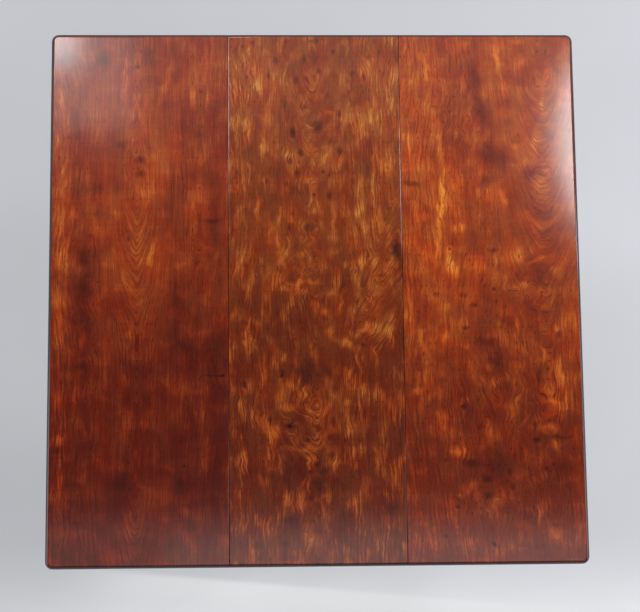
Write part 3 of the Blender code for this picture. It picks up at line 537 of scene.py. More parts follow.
boardWood = {
    "stops": (0.0, 0.3, 0.5, 0.7, 1.0),
    "stir": 40.0, "stirReach": (0.018, 0.022, 0),  # loosens the outlines of the placed spots
    "slow": (7.0, 3.0, 0), "slowReach": 0.05, "oneSided": 0.18,
    "curl": 44.0,
    "ripple": (70.0, 20.0, 0), "rippleReach": 0.005,
    "grain": {"Fine": 640.0, "Streaks": 330.0, "Bands": 64.0, "Lengthways": 14.0},
    "cloud": (15.0, 9.0, 1.0),
    "wander": (70.0, 64.0), "wanderReach": (0.016, 0.016, 0), "cellStretch": (1.25, 0.85, 0),
    "fibreShare": 0.35, "streakShare": 0.65, "lines": (0.41, 0.6, 0.0, 2.0), "flashes": (0.44, 0.72),
    "speckle": 620.0,
    "touchGrow": (1.3, 1.2),
    "red": (255, 208, 170), "redPatches": (34.0, 21.0, 1.0), "redEdge": (0.4, 0.62),
    "pore": (34, 12, 9), "poreDepth": 0.5,
    "raw": ((74, 46, 30), (120, 82, 54)), "rawBelow": (-0.5, -0.8), "rawRough": 0.72,
    "polish": (950.0, 24.0, 1.0), "rough": 0.30, "roughSpread": 0.12, "bump": 0.00004, "bumpStrength": 0.3,
    "coat": 0.95, "coatRough": 0.1, "specular": 0.1,
}
# Painted shade along the outline of the top and on the steep part of its rounded edge
boardEdge = {
    "outline": {"Half": (0.4, 0.4045, 0), "Corner": 0.011, "Inner": 0.0050, "Outer": 0.0030},
    "colour": (34, 24, 30), "steep": (0.95, 0.7), "cover": 0.94,
}


def spotAt(across, down, wide, high, lean):  # an ellipse of the picture, as the groups take it
    turn = math.radians(lean)
    rows = ((math.cos(turn), -math.sin(turn), wide), (math.sin(turn), math.cos(turn), high))
    reach = [(x / (size * pictureStep), y / (size * pictureStep), 0) for x, y, size in rows]
    return {"Centre": onTop(across, down), "Across": reach[0], "Along": reach[1]}


def spots(entries, grow=(1.0, 1.0)):  # each entry as its ellipse and its own numbers
    for across, down, wide, high, lean, *own in entries:
        yield (spotAt(across, down, wide * grow[0], high * grow[1], lean), *own)


def boardFibres(tree, board, flat, seeded):  # where the fibres lead a point, the tone there, and the grain
    wood, bent, tone = boardWood, flat, board["amounts"]["lift"]
    for spot, gain, push in spots(board["knots"]):
        used = useGroup(tree, knotGroup, Place=bent, Tone=tone, Gain=gain, Push=push, **spot)
        bent, tone = used["Bent"], used["Tone"]
    axis = onTop(board["axis"], cameraView["middle"][1])[0]
    away = calc(tree, "SUBTRACT", measure(tree, bent, (1, 0, 0)), axis)
    line = calc(tree, "SQRT", calc(tree, "MULTIPLY_ADD", away, away, board["round"] ** 2))
    line = calc(tree, "MULTIPLY_ADD", away, wood["oneSided"], line)
    slow = drawnNoise(tree, seeded, wood["slow"], detail=1.0)
    line = calc(tree, "MULTIPLY_ADD", slow, wood["slowReach"], line)
    for across, down, wide, high, lean, slope in board["flames"]:
        spot = spotAt(across, down, wide, high, lean)
        rise = 2 * high * pictureStep / slope
        line = useGroup(tree, flameGroup, Place=bent, Line=line, Rise=rise, **spot)["Line"]
    swirl = board["amounts"]["swirl"]
    for spot, gain in spots(board["swirls"]):
        inside = useGroup(tree, spotGroup, Place=flat, **spot)["Inside"]
        swirl = calc(tree, "MULTIPLY_ADD", inside, gain, swirl)
    line = addTone(tree, line, noise(tree, seeded, wood["curl"], detail=1.0), swirl)
    ripple = drawnNoise(tree, seeded, wood["ripple"], detail=1.0)
    line = calc(tree, "MULTIPLY_ADD", ripple, wood["rippleReach"], line)
    fibres = combined(tree, line, measure(tree, bent, (0, 1, 0)), board["seed"][0])
    return bent, tone, useGroup(tree, grainGroup, Place=fibres, **wood["grain"])


def boardTone(tree, board, flat, seeded, loose):
    wood, amounts = boardWood, board["amounts"]
    bent, tone, grain = boardFibres(tree, board, flat, seeded)
    lean, wide, high = board["mottle"]
    turned = {"Vector": loose, "Rotation": (0, 0, math.radians(lean)), "Scale": (wide, high, 1)}
    mottle = noise(tree, put(tree, "Mapping", turned).outputs[0], 1.0)
    cloud = drawnNoise(tree, seeded, wood["cloud"])
    wander = combined(tree, *[noise(tree, loose, pitch) for pitch in wood["wander"]])
    wandered = vector(tree, "ADD", bent, vector(tree, "MULTIPLY", wander, wood["wanderReach"]))
    for spot, pitch, gain in spots(board["burrs"]):
        inputs = {"Vector": vector(tree, "MULTIPLY", wandered, wood["cellStretch"]), "Scale": pitch}
        cells = put(tree, "TexVoronoi", inputs, feature="DISTANCE_TO_EDGE").outputs[0]
        tone = useGroup(tree, burrGroup, Place=loose, Tone=tone, Cells=cells, Gain=gain, **spot)["Tone"]
    fibre, streak, band = grain["Fibre"], grain["Streak"], grain["Band"]
    sources = {"fibre": fibre, "streak": streak, "band": band, "mottle": mottle, "cloud": cloud}
    for name, source in sources.items():
        tone = addTone(tree, tone, source, amounts[name] * 2)
    lines = calc(tree, "MULTIPLY_ADD", fibre, wood["fibreShare"], times(tree, streak, wood["streakShare"]))
    lines = span(tree, lines, *wood["lines"])
    # Painted sheen: the chatoyant shine of the mottled figure, laid into the tone along the fibres.
    flashes = span(tree, mottle, *wood["flashes"], 0.0, amounts["flash"])
    tone = calc(tree, "MULTIPLY_ADD", flashes, lines, tone)
    tone = addTone(tree, tone, noise(tree, flat, wood["speckle"], detail=1.0), amounts["speckle"] * 2)
    for spot, gain, grainy in spots(board["touches"], wood["touchGrow"]):
        inputs = {"Place": loose, "Tone": tone, "Fibre": lines, "Gain": gain, "Grainy": grainy}
        tone = useGroup(tree, touchGroup, **inputs, **spot)["Tone"]
    return tone, grain


def boardMaterial(name, board, slotName):
    material, tree, shader, place = startMaterial(name, slotName)
    wood = boardWood
    flat = vector(tree, "MULTIPLY", place, (1, 1, 0))
    seeded = vector(tree, "ADD", flat, board["seed"])
    stir = put(tree, "TexNoise", {"Vector": seeded, "Scale": wood["stir"], "Detail": 2.0}).outputs[1]
    stir = vector(tree, "MULTIPLY", vector(tree, "SUBTRACT", stir, (0.5, 0.5, 0.5)), wood["stirReach"])
    loose = vector(tree, "ADD", flat, stir)
    tone, grain = boardTone(tree, board, flat, seeded, loose)

    # Painted shade: the darker copy of the ramp shows more towards the bottom of the top, where the light
    # falls off, and inside the listed spots.
    shadeFalloff = [onTop(cameraView["middle"][0], down)[1] for down in board["shadeFalloff"]]
    paintedShade = span(tree, measure(tree, loose, (0, 1, 0)), *shadeFalloff)
    for spot, gain in spots(board["paintedShade"]):
        inside = useGroup(tree, spotGroup, Place=loose, **spot)["Inside"]
        paintedShade = calc(tree, "MAXIMUM", paintedShade, times(tree, inside, gain))
    unshadedColour, shadedColour = [ramp(tree, tone, wood["stops"], colours) for colours in board["litAndShadedRamps"]]
    colour = blendColour(tree, paintedShade, unshadedColour, shadedColour)
    redder = span(tree, drawnNoise(tree, seeded, wood["redPatches"]), *wood["redEdge"])
    redder = times(tree, redder, board["amounts"]["hue"])
    colour = blendColour(tree, redder, colour, tint(*wood["red"]), "MULTIPLY")
    colour = blendColour(tree, times(tree, grain["Pore"], wood["poreDepth"]), colour, tint(*wood["pore"]))

    # Painted shade: the top darkens near its outline and where its rounded edge turns steeply away from the
    # light.
    normal = parted(tree, place.node.outputs["Normal"])[2]
    rim = useGroup(tree, rimGroup, Place=flat, **boardEdge["outline"])["Rim"]
    dark = calc(tree, "MAXIMUM", rim, span(tree, normal, *boardEdge["steep"]))
    colour = blendColour(tree, times(tree, dark, boardEdge["cover"]), colour, tint(*boardEdge["colour"]))
    below = span(tree, normal, *wood["rawBelow"])
    raw = blendColour(tree, grain["Streak"], *[tint(*stain) for stain in wood["raw"]])
    polish = drawnNoise(tree, flat, wood["polish"], detail=1.0)
    rough = calc(tree, "MULTIPLY_ADD", polish, wood["roughSpread"], wood["rough"])
    bump = put(tree, "Bump", {"Height": polish, "Distance": wood["bump"], "Strength": wood["bumpStrength"]})
    wire(tree, shader, {
        "Base Color": blendColour(tree, below, colour, raw),
        "Roughness": blendValue(tree, below, rough, wood["rawRough"]),
        "Normal": bump.outputs[0],
        "Coat Weight": blendValue(tree, below, wood["coat"], 0.0),
        "Coat Roughness": wood["coatRough"],
        "Specular IOR Level": wood["specular"],
    })
    return material


boards = {  # node: material, body
    "leaf_left": (boardMaterial("leftLeafMahogany", leftLeaf, "leaf_mahogany"), "left_leaf"),
    "centre_board": (boardMaterial("centreBoardMahogany", centreBoard, "figured_mahogany"), "frame"),
    "leaf_right": (boardMaterial("rightLeafMahogany", rightLeaf, "leaf_mahogany"), "right_leaf"),
}
print("board materials ready")

# Wood of the frame, with the fibres along each piece

frameWood = {
    "slot": "frame_mahogany",
    "stops": (0.0, 0.35, 0.55, 0.75, 1.0),
    "colours": ((30, 10, 8), (74, 26, 15), (104, 42, 21), (136, 62, 28), (176, 94, 44)),
    "worn": (150, 78, 38),
    # the colour of the pore fill, and of the painted shade in the hollows
    "poreFillAndHollowShade": (22, 11, 9),
    "grain": {"Fine": 1300.0, "Streaks": 210.0, "Bands": 70.0, "Lengthways": 11.0},
    "coat": 0.35,
    "rough": 0.24,
    "bumpStrength": 0.4,
}
pegWood = {
    **frameWood,
    "stops": (0.0, 0.4, 0.6, 0.8, 1.0),
    "colours": ((26, 12, 8), (62, 28, 16), (88, 42, 22), (112, 60, 32), (140, 84, 48)),
    "coat": 0.1,
    "rough": 0.44,
}
pine = {
    "slot": "block_pine",
    "stops": (0.0, 0.35, 0.55, 0.75, 1.0),
    "colours": ((98, 62, 34), (142, 100, 58), (170, 126, 76), (190, 148, 94), (210, 172, 118)),
    "worn": (205, 170, 120),
    # the colour of the pore fill, and of the painted shade in the hollows
    "poreFillAndHollowShade": (70, 46, 28),
    "grain": {"Fine": 700.0, "Streaks": 130.0, "Bands": 50.0, "Lengthways": 6.0},
    "coat": 0.0,
    "rough": 0.6,
    "bumpStrength": 0.8,
}
frameWear = {
    "waves": (14.0, 5.0, 14.0), "waveReach": 0.02,
    "tones": {"Fibre": 0.3, "Streak": 0.6, "Band": 0.4},
    "cloud": 16.0, "cloudTone": 0.5,
    "poreDepth": 0.4,
    "hollow": 0.006, "arris": 0.004,  # how far the painted hollow shade and the rubbing look round them
    "scuffs": 75.0, "scuffRough": 0.22,
    # from where to where each shows, and how the scuffs break it up
    "hollowShadeAt": ((0.82, 0.42), (0.25, 0.6, 0.35, 0.65)),
    "wornAt": ((0.62, 0.9), (0.45, 0.7, 0.0, 0.22)),
    # the foot of each piece is darker towards the floor, broken up by the scuffs
    "lowDarkAt": ((0.10, 0.0), (0.42, 0.62, 0.0, 0.55)), "lowDark": (58, 32, 22),
    "poreHeight": -1.5, "bump": 0.00008, "coatRough": 0.18,
}


def shelter(tree, distance, inside=False):
    node = put(tree, "AmbientOcclusion", {"Distance": distance}, samples=8, only_local=True, inside=inside)
    return node.outputs["AO"]


def frameMaterial(name, turn, wood=frameWood):
    material, tree, shader, place = startMaterial(name, wood["slot"])
    wear = frameWear
    along = put(tree, "Mapping", {"Vector": place, "Rotation": turn}).outputs[0]
    wave = times(tree, drawnNoise(tree, along, wear["waves"]), wear["waveReach"])
    bent = vector(tree, "ADD", along, combined(tree, wave))
    grain = useGroup(tree, grainGroup, Place=bent, **wood["grain"])
    tone = 0.5
    for label, amount in wear["tones"].items():
        tone = addTone(tree, tone, grain[label], amount)
    tone = addTone(tree, tone, noise(tree, place, wear["cloud"]), wear["cloudTone"])
    colour = ramp(tree, tone, wood["stops"], wood["colours"])
    colour = blendColour(tree, times(tree, grain["Pore"], wear["poreDepth"]), colour, tint(*wood["poreFillAndHollowShade"]))
    scuffs = noise(tree, place, wear["scuffs"], detail=3.0)
    # Painted shade: a near-black colour is laid into the hollows that ambient occlusion finds; the lighter
    # rubbed arrises are wear.
    for found, (reach, broken), stain in (
        (shelter(tree, wear["hollow"]), wear["hollowShadeAt"], wood["poreFillAndHollowShade"]),
        (shelter(tree, wear["arris"], inside=True), wear["wornAt"], wood["worn"]),
        (parted(tree, place)[2], wear["lowDarkAt"], wear["lowDark"]),
    ):
        shown = times(tree, span(tree, found, *reach), span(tree, scuffs, *broken))
        colour = blendColour(tree, shown, colour, tint(*stain))
    height = calc(tree, "ADD", grain["Fibre"], times(tree, grain["Pore"], wear["poreHeight"]))
    bump = put(tree, "Bump", {"Height": height, "Distance": wear["bump"], "Strength": wood["bumpStrength"]})
    wire(tree, shader, {
        "Base Color": colour,
        "Roughness": calc(tree, "MULTIPLY_ADD", scuffs, wear["scuffRough"], wood["rough"]),
        "Normal": bump.outputs[0],
        "Coat Weight": wood["coat"],
        "Coat Roughness": wear["coatRough"],
    })
    return material


uprightWood = frameMaterial("frameMahoganyUpright", (quarter, 0, 0))
longWood = frameMaterial("frameMahoganyLong", (0, 0, 0))
crossWood = frameMaterial("frameMahoganyCross", (0, 0, quarter))
pineLong = frameMaterial("blockPineLong", (0, 0, 0), pine)
pineCross = frameMaterial("blockPineCross", (0, 0, quarter), pine)
pegMaterial = frameMaterial("pegEndGrain", (0, 0, 0), pegWood)

hingeIron = {
    "blotches": 120.0, "pits": 900.0, "dark": (62, 58, 56), "bright": (104, 99, 95),
    "rusting": 0.7, "rough": 0.38,
}
headIron = {
    "blotches": 300.0, "pits": 1500.0, "dark": (78, 74, 70), "bright": (134, 128, 120),
    "rusting": 0.45, "rough": 0.3,
}
ironWear = {
    "blotchEdge": (0.42, 0.62), "pitRough": 0.25, "metal": 0.95, "bump": 0.0002, "bumpStrength": 0.5,
    "rust": ((58, 30, 18), (112, 62, 34)), "rustPitch": 1.7, "rustEdge": (0.5, 0.66), "rustRough": 0.3,
}


def ironMaterial(name, iron):
    material, tree, shader, place = startMaterial(name, "hinge_iron")
    wear = ironWear
    blotch = noise(tree, place, iron["blotches"], detail=4.0, roughness=0.6)
    pitted = noise(tree, place, iron["pits"], roughness=0.6)
    blotched = span(tree, blotch, *wear["blotchEdge"])
    colour = blendColour(tree, blotched, tint(*iron["dark"]), tint(*iron["bright"]))
    rust = noise(tree, place, iron["blotches"] * wear["rustPitch"], detail=3.0)
    rust = times(tree, span(tree, rust, *wear["rustEdge"]), iron["rusting"])
    rusty = blendColour(tree, pitted, *[tint(*stain) for stain in wear["rust"]])
    rough = calc(tree, "MULTIPLY_ADD", pitted, wear["pitRough"], iron["rough"])
    height = calc(tree, "ADD", pitted, blotch)
    bump = put(tree, "Bump", {"Height": height, "Distance": wear["bump"], "Strength": wear["bumpStrength"]})
    wire(tree, shader, {
        "Base Color": blendColour(tree, rust, colour, rusty),
        "Roughness": calc(tree, "ADD", rough, times(tree, rust, wear["rustRough"])),
        "Metallic": calc(tree, "SUBTRACT", wear["metal"], rust),
        "Normal": bump.outputs[0],
    })
    return material


wroughtIron = ironMaterial("wroughtIron", hingeIron)
screwIron = ironMaterial("screwIron", headIron)
print("frame and iron materials ready")

# Making and fitting pieces

fitting = {"weld": 0.00001, "flat": 0.6, "sharpAbove": 34.0, "easedAbove": 40.0}


def showMesh(name, bm):
    mesh = bpy.data.meshes.new(name)
    bm.to_mesh(mesh)
    bm.free()
    thing = bpy.data.objects.new(name, mesh)
    bpy.context.scene.collection.objects.link(thing)
    return thing


def finishPiece(name, bm, material, body, node=None):
    bmesh.ops.recalc_face_normals(bm, faces=bm.faces[:])
    for face in bm.faces:
        face.smooth = True
    for edge in bm.edges:
        edge.smooth = edge.is_manifold and edge.calc_face_angle(0.0) < math.radians(fitting["sharpAbove"])
    piece = showMesh(name, bm)
    piece.data.materials.append(material)
    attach(piece, body)
    if node:
        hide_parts(node)


def copyOf(node):
    bm = bmesh.new()
    bm.from_mesh(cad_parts[node].data)
    bmesh.ops.remove_doubles(bm, verts=bm.verts[:], dist=fitting["weld"])
    flat = math.radians(fitting["flat"])
    bmesh.ops.dissolve_limit(bm, angle_limit=flat, verts=bm.verts[:], edges=bm.edges[:])
    return bm


def bevelEdges(bm, edges, width):
    bmesh.ops.bevel(
        bm, geom=edges, offset=width, offset_type="OFFSET", segments=2, profile=0.5, affect="EDGES",
        material=-1, clamp_overlap=False,
    )


def easeEdges(bm, width, shortest, steepest):
    chosen = [
        edge for edge in bm.edges
        if edge.is_manifold and edge.is_convex and edge.calc_length() > shortest
        and edge.calc_face_angle(0.0) > math.radians(steepest)
    ]
    bevelEdges(bm, chosen, width)


def carve(bm, cutter, operation="DIFFERENCE"):
    shown, tool = showMesh("carving", bm), showMesh("cutter", cutter)
    modifier = shown.modifiers.new("carve", "BOOLEAN")
    modifier.object = tool
    modifier.operation = operation
    modifier.solver = "EXACT"
    shaped = shown.evaluated_get(bpy.context.evaluated_depsgraph_get())
    result = bmesh.new()
    result.from_mesh(shaped.to_mesh())
    shaped.to_mesh_clear()
    for thing in (shown, tool):
        mesh = thing.data
        bpy.data.objects.remove(thing)
        bpy.data.meshes.remove(mesh)
    return result


def boxBetween(low, high):
    bm = bmesh.new()
    size = [abs(b - a) for a, b in zip(low, high)]
    middle = [(a + b) / 2 for a, b in zip(low, high)]
    bmesh.ops.create_cube(bm, size=1.0, matrix=Matrix.Translation(middle) @ Matrix.Diagonal((*size, 1)))
    return bm


def facing(place, way, spin=0.0):
    turn = Vector(way).to_track_quat("Z", "Y").to_matrix().to_4x4()
    return Matrix.Translation(place) @ turn @ Matrix.Rotation(spin, 4, "Z")


def cone(foot, head, depth, matrix, steps):  # its head looks along +Z of the matrix
    bm = bmesh.new()
    bmesh.ops.create_cone(
        bm, cap_ends=True, segments=steps, radius1=foot, radius2=head, depth=depth, matrix=matrix
    )
    return bm


def placed(bm, matrix):
    copy = bm.copy()
    bmesh.ops.transform(copy, matrix=matrix, verts=copy.verts[:])
    return copy


def joined(parts):
    whole = bmesh.new()
    for part in parts:
        mesh = bpy.data.meshes.new("joining")
        part.to_mesh(mesh)
        part.free()
        whole.from_mesh(mesh)
        bpy.data.meshes.remove(mesh)
    return whole


# The boards keep the shape of the solids, with the arrises just taken off

boardFinish = {"arris": 0.0004, "shortest": 0.02, "rim": 0.0008, "topArea": 0.02, "level": 0.99}
for node, (material, body) in boards.items():
    bm = copyOf(node)
    easeEdges(bm, boardFinish["arris"], boardFinish["shortest"], fitting["easedAbove"])
    bm.normal_update()
    tops = [
        face for face in bm.faces
        if face.calc_area() > boardFinish["topArea"] and face.normal.z > boardFinish["level"]
    ]
    bmesh.ops.inset_individual(bm, faces=tops, thickness=boardFinish["rim"], use_even_offset=True)
    finishPiece(f"board_{node}", bm, material, body, node)
print("boards dressed")

# Turned work. Every run is a smooth stretch of the outline, and runs meet at crisp edges. Each point is
# (share of the turned length, share of half the block's side).

turnings = {
    "steps": 40,
    "weld": 0.000005,
    "fullRadius": 1.52,
    "pommel": ((0.0, 0.80), (0.0008, 0.90), (0.0022, 1.05), (0.0042, 1.26), (0.0068, 1.50)),
    "foot": (
        ((0.0, 0.54), (0.02, 0.62), (0.08, 0.80), (0.16, 0.885), (0.24, 0.90), (0.31, 0.82), (0.375, 0.66)),
        ((0.38, 0.60), (0.40, 0.60)),
        ((0.402, 0.66), (0.42, 0.71), (0.438, 0.66)),
        ((0.44, 0.57), (0.50, 0.50), (0.58, 0.53), (0.68, 0.62), (0.78, 0.76), (0.86, 0.88)),
        ((0.862, 0.93), (0.885, 0.955), (0.908, 0.93)),
        ((0.91, 0.80), (0.95, 0.70), (1.0, 0.68)),
    ),
    "shaft": (
        ((0.0, 0.64), (0.004, 0.64)),
        ((0.0045, 0.78), (0.009, 0.90), (0.014, 0.93), (0.019, 0.90), (0.0235, 0.78)),
        ((0.024, 0.68), (0.031, 0.63), (0.039, 0.585), (0.046, 0.58), (0.052, 0.62)),
        ((0.0525, 0.71), (0.057, 0.80), (0.062, 0.83), (0.067, 0.80), (0.0715, 0.71)),
        ((0.072, 0.66), (0.076, 0.66)),
        ((0.078, 0.71), (0.2, 0.755), (0.36, 0.76), (0.52, 0.715), (0.66, 0.66), (0.8, 0.595), (0.915, 0.54)),
        ((0.917, 0.60), (0.922, 0.60)),
        ((0.9225, 0.68), (0.929, 0.78), (0.938, 0.81), (0.947, 0.78), (0.9535, 0.68)),
        ((0.954, 0.58), (0.960, 0.55), (0.970, 0.56), (0.982, 0.63), (0.994, 0.78)),
        ((0.9945, 0.86), (1.0, 0.88)),
    ),
    "postShaft": (
        ((0.0, 0.66), (0.005, 0.66)),
        ((0.0055, 0.80), (0.011, 0.92), (0.018, 0.95), (0.025, 0.92), (0.0305, 0.80)),
        ((0.031, 0.70), (0.038, 0.66), (0.048, 0.68)),
        ((0.05, 0.76), (0.2, 0.81), (0.36, 0.82), (0.52, 0.775), (0.66, 0.72), (0.8, 0.665), (0.93, 0.6)),
        ((0.932, 0.66), (0.938, 0.66)),
        ((0.9385, 0.74), (0.946, 0.84), (0.955, 0.87), (0.964, 0.84), (0.9715, 0.74)),
        ((0.972, 0.64), (0.978, 0.62), (0.986, 0.68), (0.994, 0.82)),
        ((0.9945, 0.88), (1.0, 0.90)),
    ),
    "spindle": (
        ((0.0, 0.44), (0.022, 0.44)),
        ((0.024, 0.54), (0.036, 0.62), (0.050, 0.65), (0.064, 0.62), (0.076, 0.54)),
        ((0.078, 0.46), (0.088, 0.44), (0.11, 0.445), (0.2, 0.52), (0.3, 0.585), (0.4, 0.655), (0.47, 0.69)),
        ((0.472, 0.72), (0.50, 0.745), (0.528, 0.72)),
        ((0.53, 0.69), (0.6, 0.655), (0.7, 0.585), (0.8, 0.52), (0.89, 0.445), (0.912, 0.44), (0.922, 0.46)),
        ((0.924, 0.54), (0.936, 0.62), (0.950, 0.65), (0.964, 0.62), (0.976, 0.54)),
        ((0.978, 0.44), (1.0, 0.44)),
    ),
    "collar": (
        ((0.0, 0.60), (0.10, 0.60)),
        ((0.11, 0.72), (0.17, 0.82), (0.25, 0.86), (0.33, 0.82), (0.39, 0.72)),
        ((0.40, 0.66), (0.50, 0.62), (0.60, 0.66)),
        ((0.61, 0.72), (0.67, 0.82), (0.75, 0.86), (0.83, 0.82), (0.89, 0.72)),
        ((0.90, 0.60), (1.0, 0.60)),
    ),
}
turnedSizes = {
    "legHalf": 0.013, "postHalf": 0.011, "slope": 0.003, "arris": 0.0007,
    "spare": 0.01,  # how much longer than the piece its blank or its outline is
    "footTop": 0.090, "lowerBlock": 0.147, "upperBlock": 0.6357, "seat": 0.6947,
    "gateLower": 0.1694, "gateUpper": 0.6133, "postBottom": 0.1334, "postTop": 0.6493,
    "pintle": 0.005, "pintleLength": 0.018, "pintleRoot": 0.004, "pintleEase": 0.001, "pintleTip": 0.86,
    "frameX": 0.098, "legY": 0.320, "postY": 0.289944, "gateY": 0.055,
    "crossings": ((0.1067, 0.1333), (0.6494, 0.72)), "slack": 0.00015, "cut": 0.03,
}


def smoothRun(points, steps=3):  # a curve through the points that never swells past them
    if len(points) < 3:
        return list(points)
    rises = [(b[1] - a[1]) / (b[0] - a[0]) for a, b in zip(points, points[1:])]
    slopes = [rises[0]]
    for before, after in zip(rises, rises[1:]):
        slopes.append(0.0 if before * after <= 0 else 2 * before * after / (before + after))
    slopes.append(rises[-1])
    curve = []
    for (start, end), slopeIn, slopeOut in zip(zip(points, points[1:]), slopes, slopes[1:]):
        width = end[0] - start[0]
        for step in range(steps):
            t = step / steps
            rise = (
                (2 * t**3 - 3 * t**2 + 1) * start[1] + (t**3 - 2 * t**2 + t) * width * slopeIn
                + (3 * t**2 - 2 * t**3) * end[1] + (t**3 - t**2) * width * slopeOut
            )
            curve.append((start[0] + width * t, rise))
    return curve + [points[-1]]


def turnedStretch(kind, start, end, half):
    points = []
    for run in turnings[kind]:
        points += [(start + (end - start) * share, half * out) for share, out in smoothRun(run)]
    return points


def pommel(place, toward, half):  # where the turning runs out into a square block
    points = [(place + toward * far, half * out) for far, out in turnings["pommel"]]
    return points if toward > 0 else points[::-1]


def betweenBlocks(kind, start, end, half):
    start, end = start + turnedSizes["slope"], end - turnedSizes["slope"]
    return pommel(start, -1, half) + turnedStretch(kind, start, end, half) + pommel(end, 1, half)


def lathe(outline):
    bm = bmesh.new()
    line = [(outline[0][0], 0.0)] + outline + [(outline[-1][0], 0.0)]
    verts = [bm.verts.new((radius, 0, place)) for place, radius in line]
    edges = [bm.edges.new(pair) for pair in zip(verts, verts[1:])]
    bmesh.ops.spin(
        bm, geom=verts + edges, cent=(0, 0, 0), axis=(0, 0, 1), angle=2 * math.pi, steps=turnings["steps"],
        use_merge=True, use_duplicate=False,
    )
    bmesh.ops.remove_doubles(bm, verts=bm.verts[:], dist=turnings["weld"])
    bmesh.ops.recalc_face_normals(bm, faces=bm.faces[:])
    return bm


def turnedFrom(half, outline, start, end):  # a square blank, turned down to the outline
    blank = boxBetween((-half, -half, start), (half, half, end))
    upright = [edge for edge in blank.edges if abs(edge.verts[0].co.z - edge.verts[1].co.z) > half]
    bevelEdges(blank, upright, turnedSizes["arris"])
    return carve(blank, lathe(outline), "INTERSECT")


def makeLeg(lowerTop, upperBottom):
    s, half = turnedSizes, turnedSizes["legHalf"]
    outline = turnedStretch("foot", 0.0, s["footTop"], half) + pommel(s["footTop"], 1, half)
    outline += betweenBlocks("shaft", lowerTop, upperBottom, half)
    outline += [(s["seat"] + 2 * s["spare"], half * turnings["fullRadius"])]
    return turnedFrom(half, outline, -s["spare"], s["seat"])


def makeGateLeg():  # halved on its inner side, where it lies across the stretcher and the rail
    s = turnedSizes
    leg = makeLeg(s["gateLower"], s["gateUpper"])
    for low, high in s["crossings"]:
        leg = carve(leg, boxBetween((-s["cut"], -s["cut"], low), (s["slack"], s["cut"], high)))
    return leg


def makeGatePost():
    s, half = turnedSizes, turnedSizes["postHalf"]
    full = half * turnings["fullRadius"]
    shaft = betweenBlocks("postShaft", s["gateLower"], s["gateUpper"], half)
    outline = [(s["postBottom"] - s["spare"], full)] + shaft + [(s["postTop"] + s["spare"], full)]
    post = turnedFrom(half, outline, s["postBottom"], s["postTop"])
    for place, way in ((s["postBottom"], -1), (s["postTop"], 1)):
        start, end = sorted((place - way * s["pintleRoot"], place + way * s["pintleLength"]))
        tip, ease = s["pintle"] * s["pintleTip"], s["pintleEase"]
        pin = [(start, tip), (start + ease, s["pintle"]), (end - ease, s["pintle"]), (end, tip)]
        post = carve(post, lathe(pin), "UNION")
    return post


def turnedPiece(kind, tag, shape, matrix, material, body):
    finishPiece(f"{kind}_turned_{tag}", placed(shape, matrix), material, body, f"{kind}_{tag}")


cornerLeg = makeLeg(turnedSizes["lowerBlock"], turnedSizes["upperBlock"])
gateLeg, gatePost = makeGateLeg(), makeGatePost()
for tag, leaf, side, end in corners:
    for kind, shape, row, body in (
        ("corner_leg", cornerLeg, "legY", "frame"),
        ("gate_post", gatePost, "postY", f"gate_{tag}"),
        ("gate_leg", gateLeg, "gateY", f"gate_{tag}"),
    ):
        matrix = Matrix.Translation((side * turnedSizes["frameX"], end * turnedSizes[row], 0))
        turnedPiece(kind, tag, shape, matrix @ Matrix.Diagonal((side, end, 1, 1)), uprightWood, body)
print("legs and posts turned")

stretcherSizes = {
    "level": 0.120, "half": 0.013, "tenon": 0.0079, "tenonHalf": (0.003, 0.008), "tenonRoot": 0.004,
    "roundTenon": 0.0035, "shoulder": 0.3067, "blankEnd": 0.33,
    "pivotNear": 0.274388, "halvingNear": 0.038319, "halvingFar": 0.071681, "notchHalf": 0.013681,
    "socketRoom": 0.0003, "socketSides": 24,
    "endHalf": 0.0847, "gateLevel": 0.1514, "gateNear": 0.0113, "gateFar": 0.221644,
}


def makeLongStretcher():
    s, half, cut = stretcherSizes, stretcherSizes["half"], turnedSizes["cut"]
    near = betweenBlocks("spindle", -s["pivotNear"], -s["halvingFar"], half)
    collar = betweenBlocks("collar", -s["halvingNear"], s["halvingNear"], half)
    far = [(-place, radius) for place, radius in reversed(near)]
    full = half * turnings["fullRadius"]
    outline = [(-s["blankEnd"], full)] + near + collar + far + [(s["blankEnd"], full)]
    bar = turnedFrom(half, outline, -s["shoulder"], s["shoulder"])
    bmesh.ops.rotate(bar, cent=(0, 0, 0), matrix=Matrix.Rotation(-quarter, 3, "X"), verts=bar.verts[:])
    x, z = s["tenonHalf"]
    radius = turnedSizes["pintle"] + s["socketRoom"]
    bottom = turnedSizes["postBottom"] - turnedSizes["pintleLength"] - s["socketRoom"] - s["level"]
    for end in (-1, 1):
        tenon = sorted((end * (s["shoulder"] - s["tenonRoot"]), end * (s["shoulder"] + s["tenon"])))
        bar = carve(bar, boxBetween((-x, tenon[0], -z), (x, tenon[1], z)), "UNION")
        y = end * turnedSizes["gateY"]
        notch = boxBetween((-turnedSizes["slack"], y - s["notchHalf"], -cut), (cut, y + s["notchHalf"], cut))
        bar = carve(bar, notch)
        middle = (0, end * turnedSizes["postY"], (bottom + cut) / 2)
        bar = carve(bar, cone(radius, radius, cut - bottom, Matrix.Translation(middle), s["socketSides"]))
    return bar


def makeSpindle(half, start, end):  # turned from end to end, with a round tenon at each
    s = stretcherSizes
    outline = [(start - s["tenon"], s["roundTenon"]), (start, s["roundTenon"])]
    outline += turnedStretch("spindle", start, end, half)
    return lathe(outline + [(end, s["roundTenon"]), (end + s["tenon"], s["roundTenon"])])


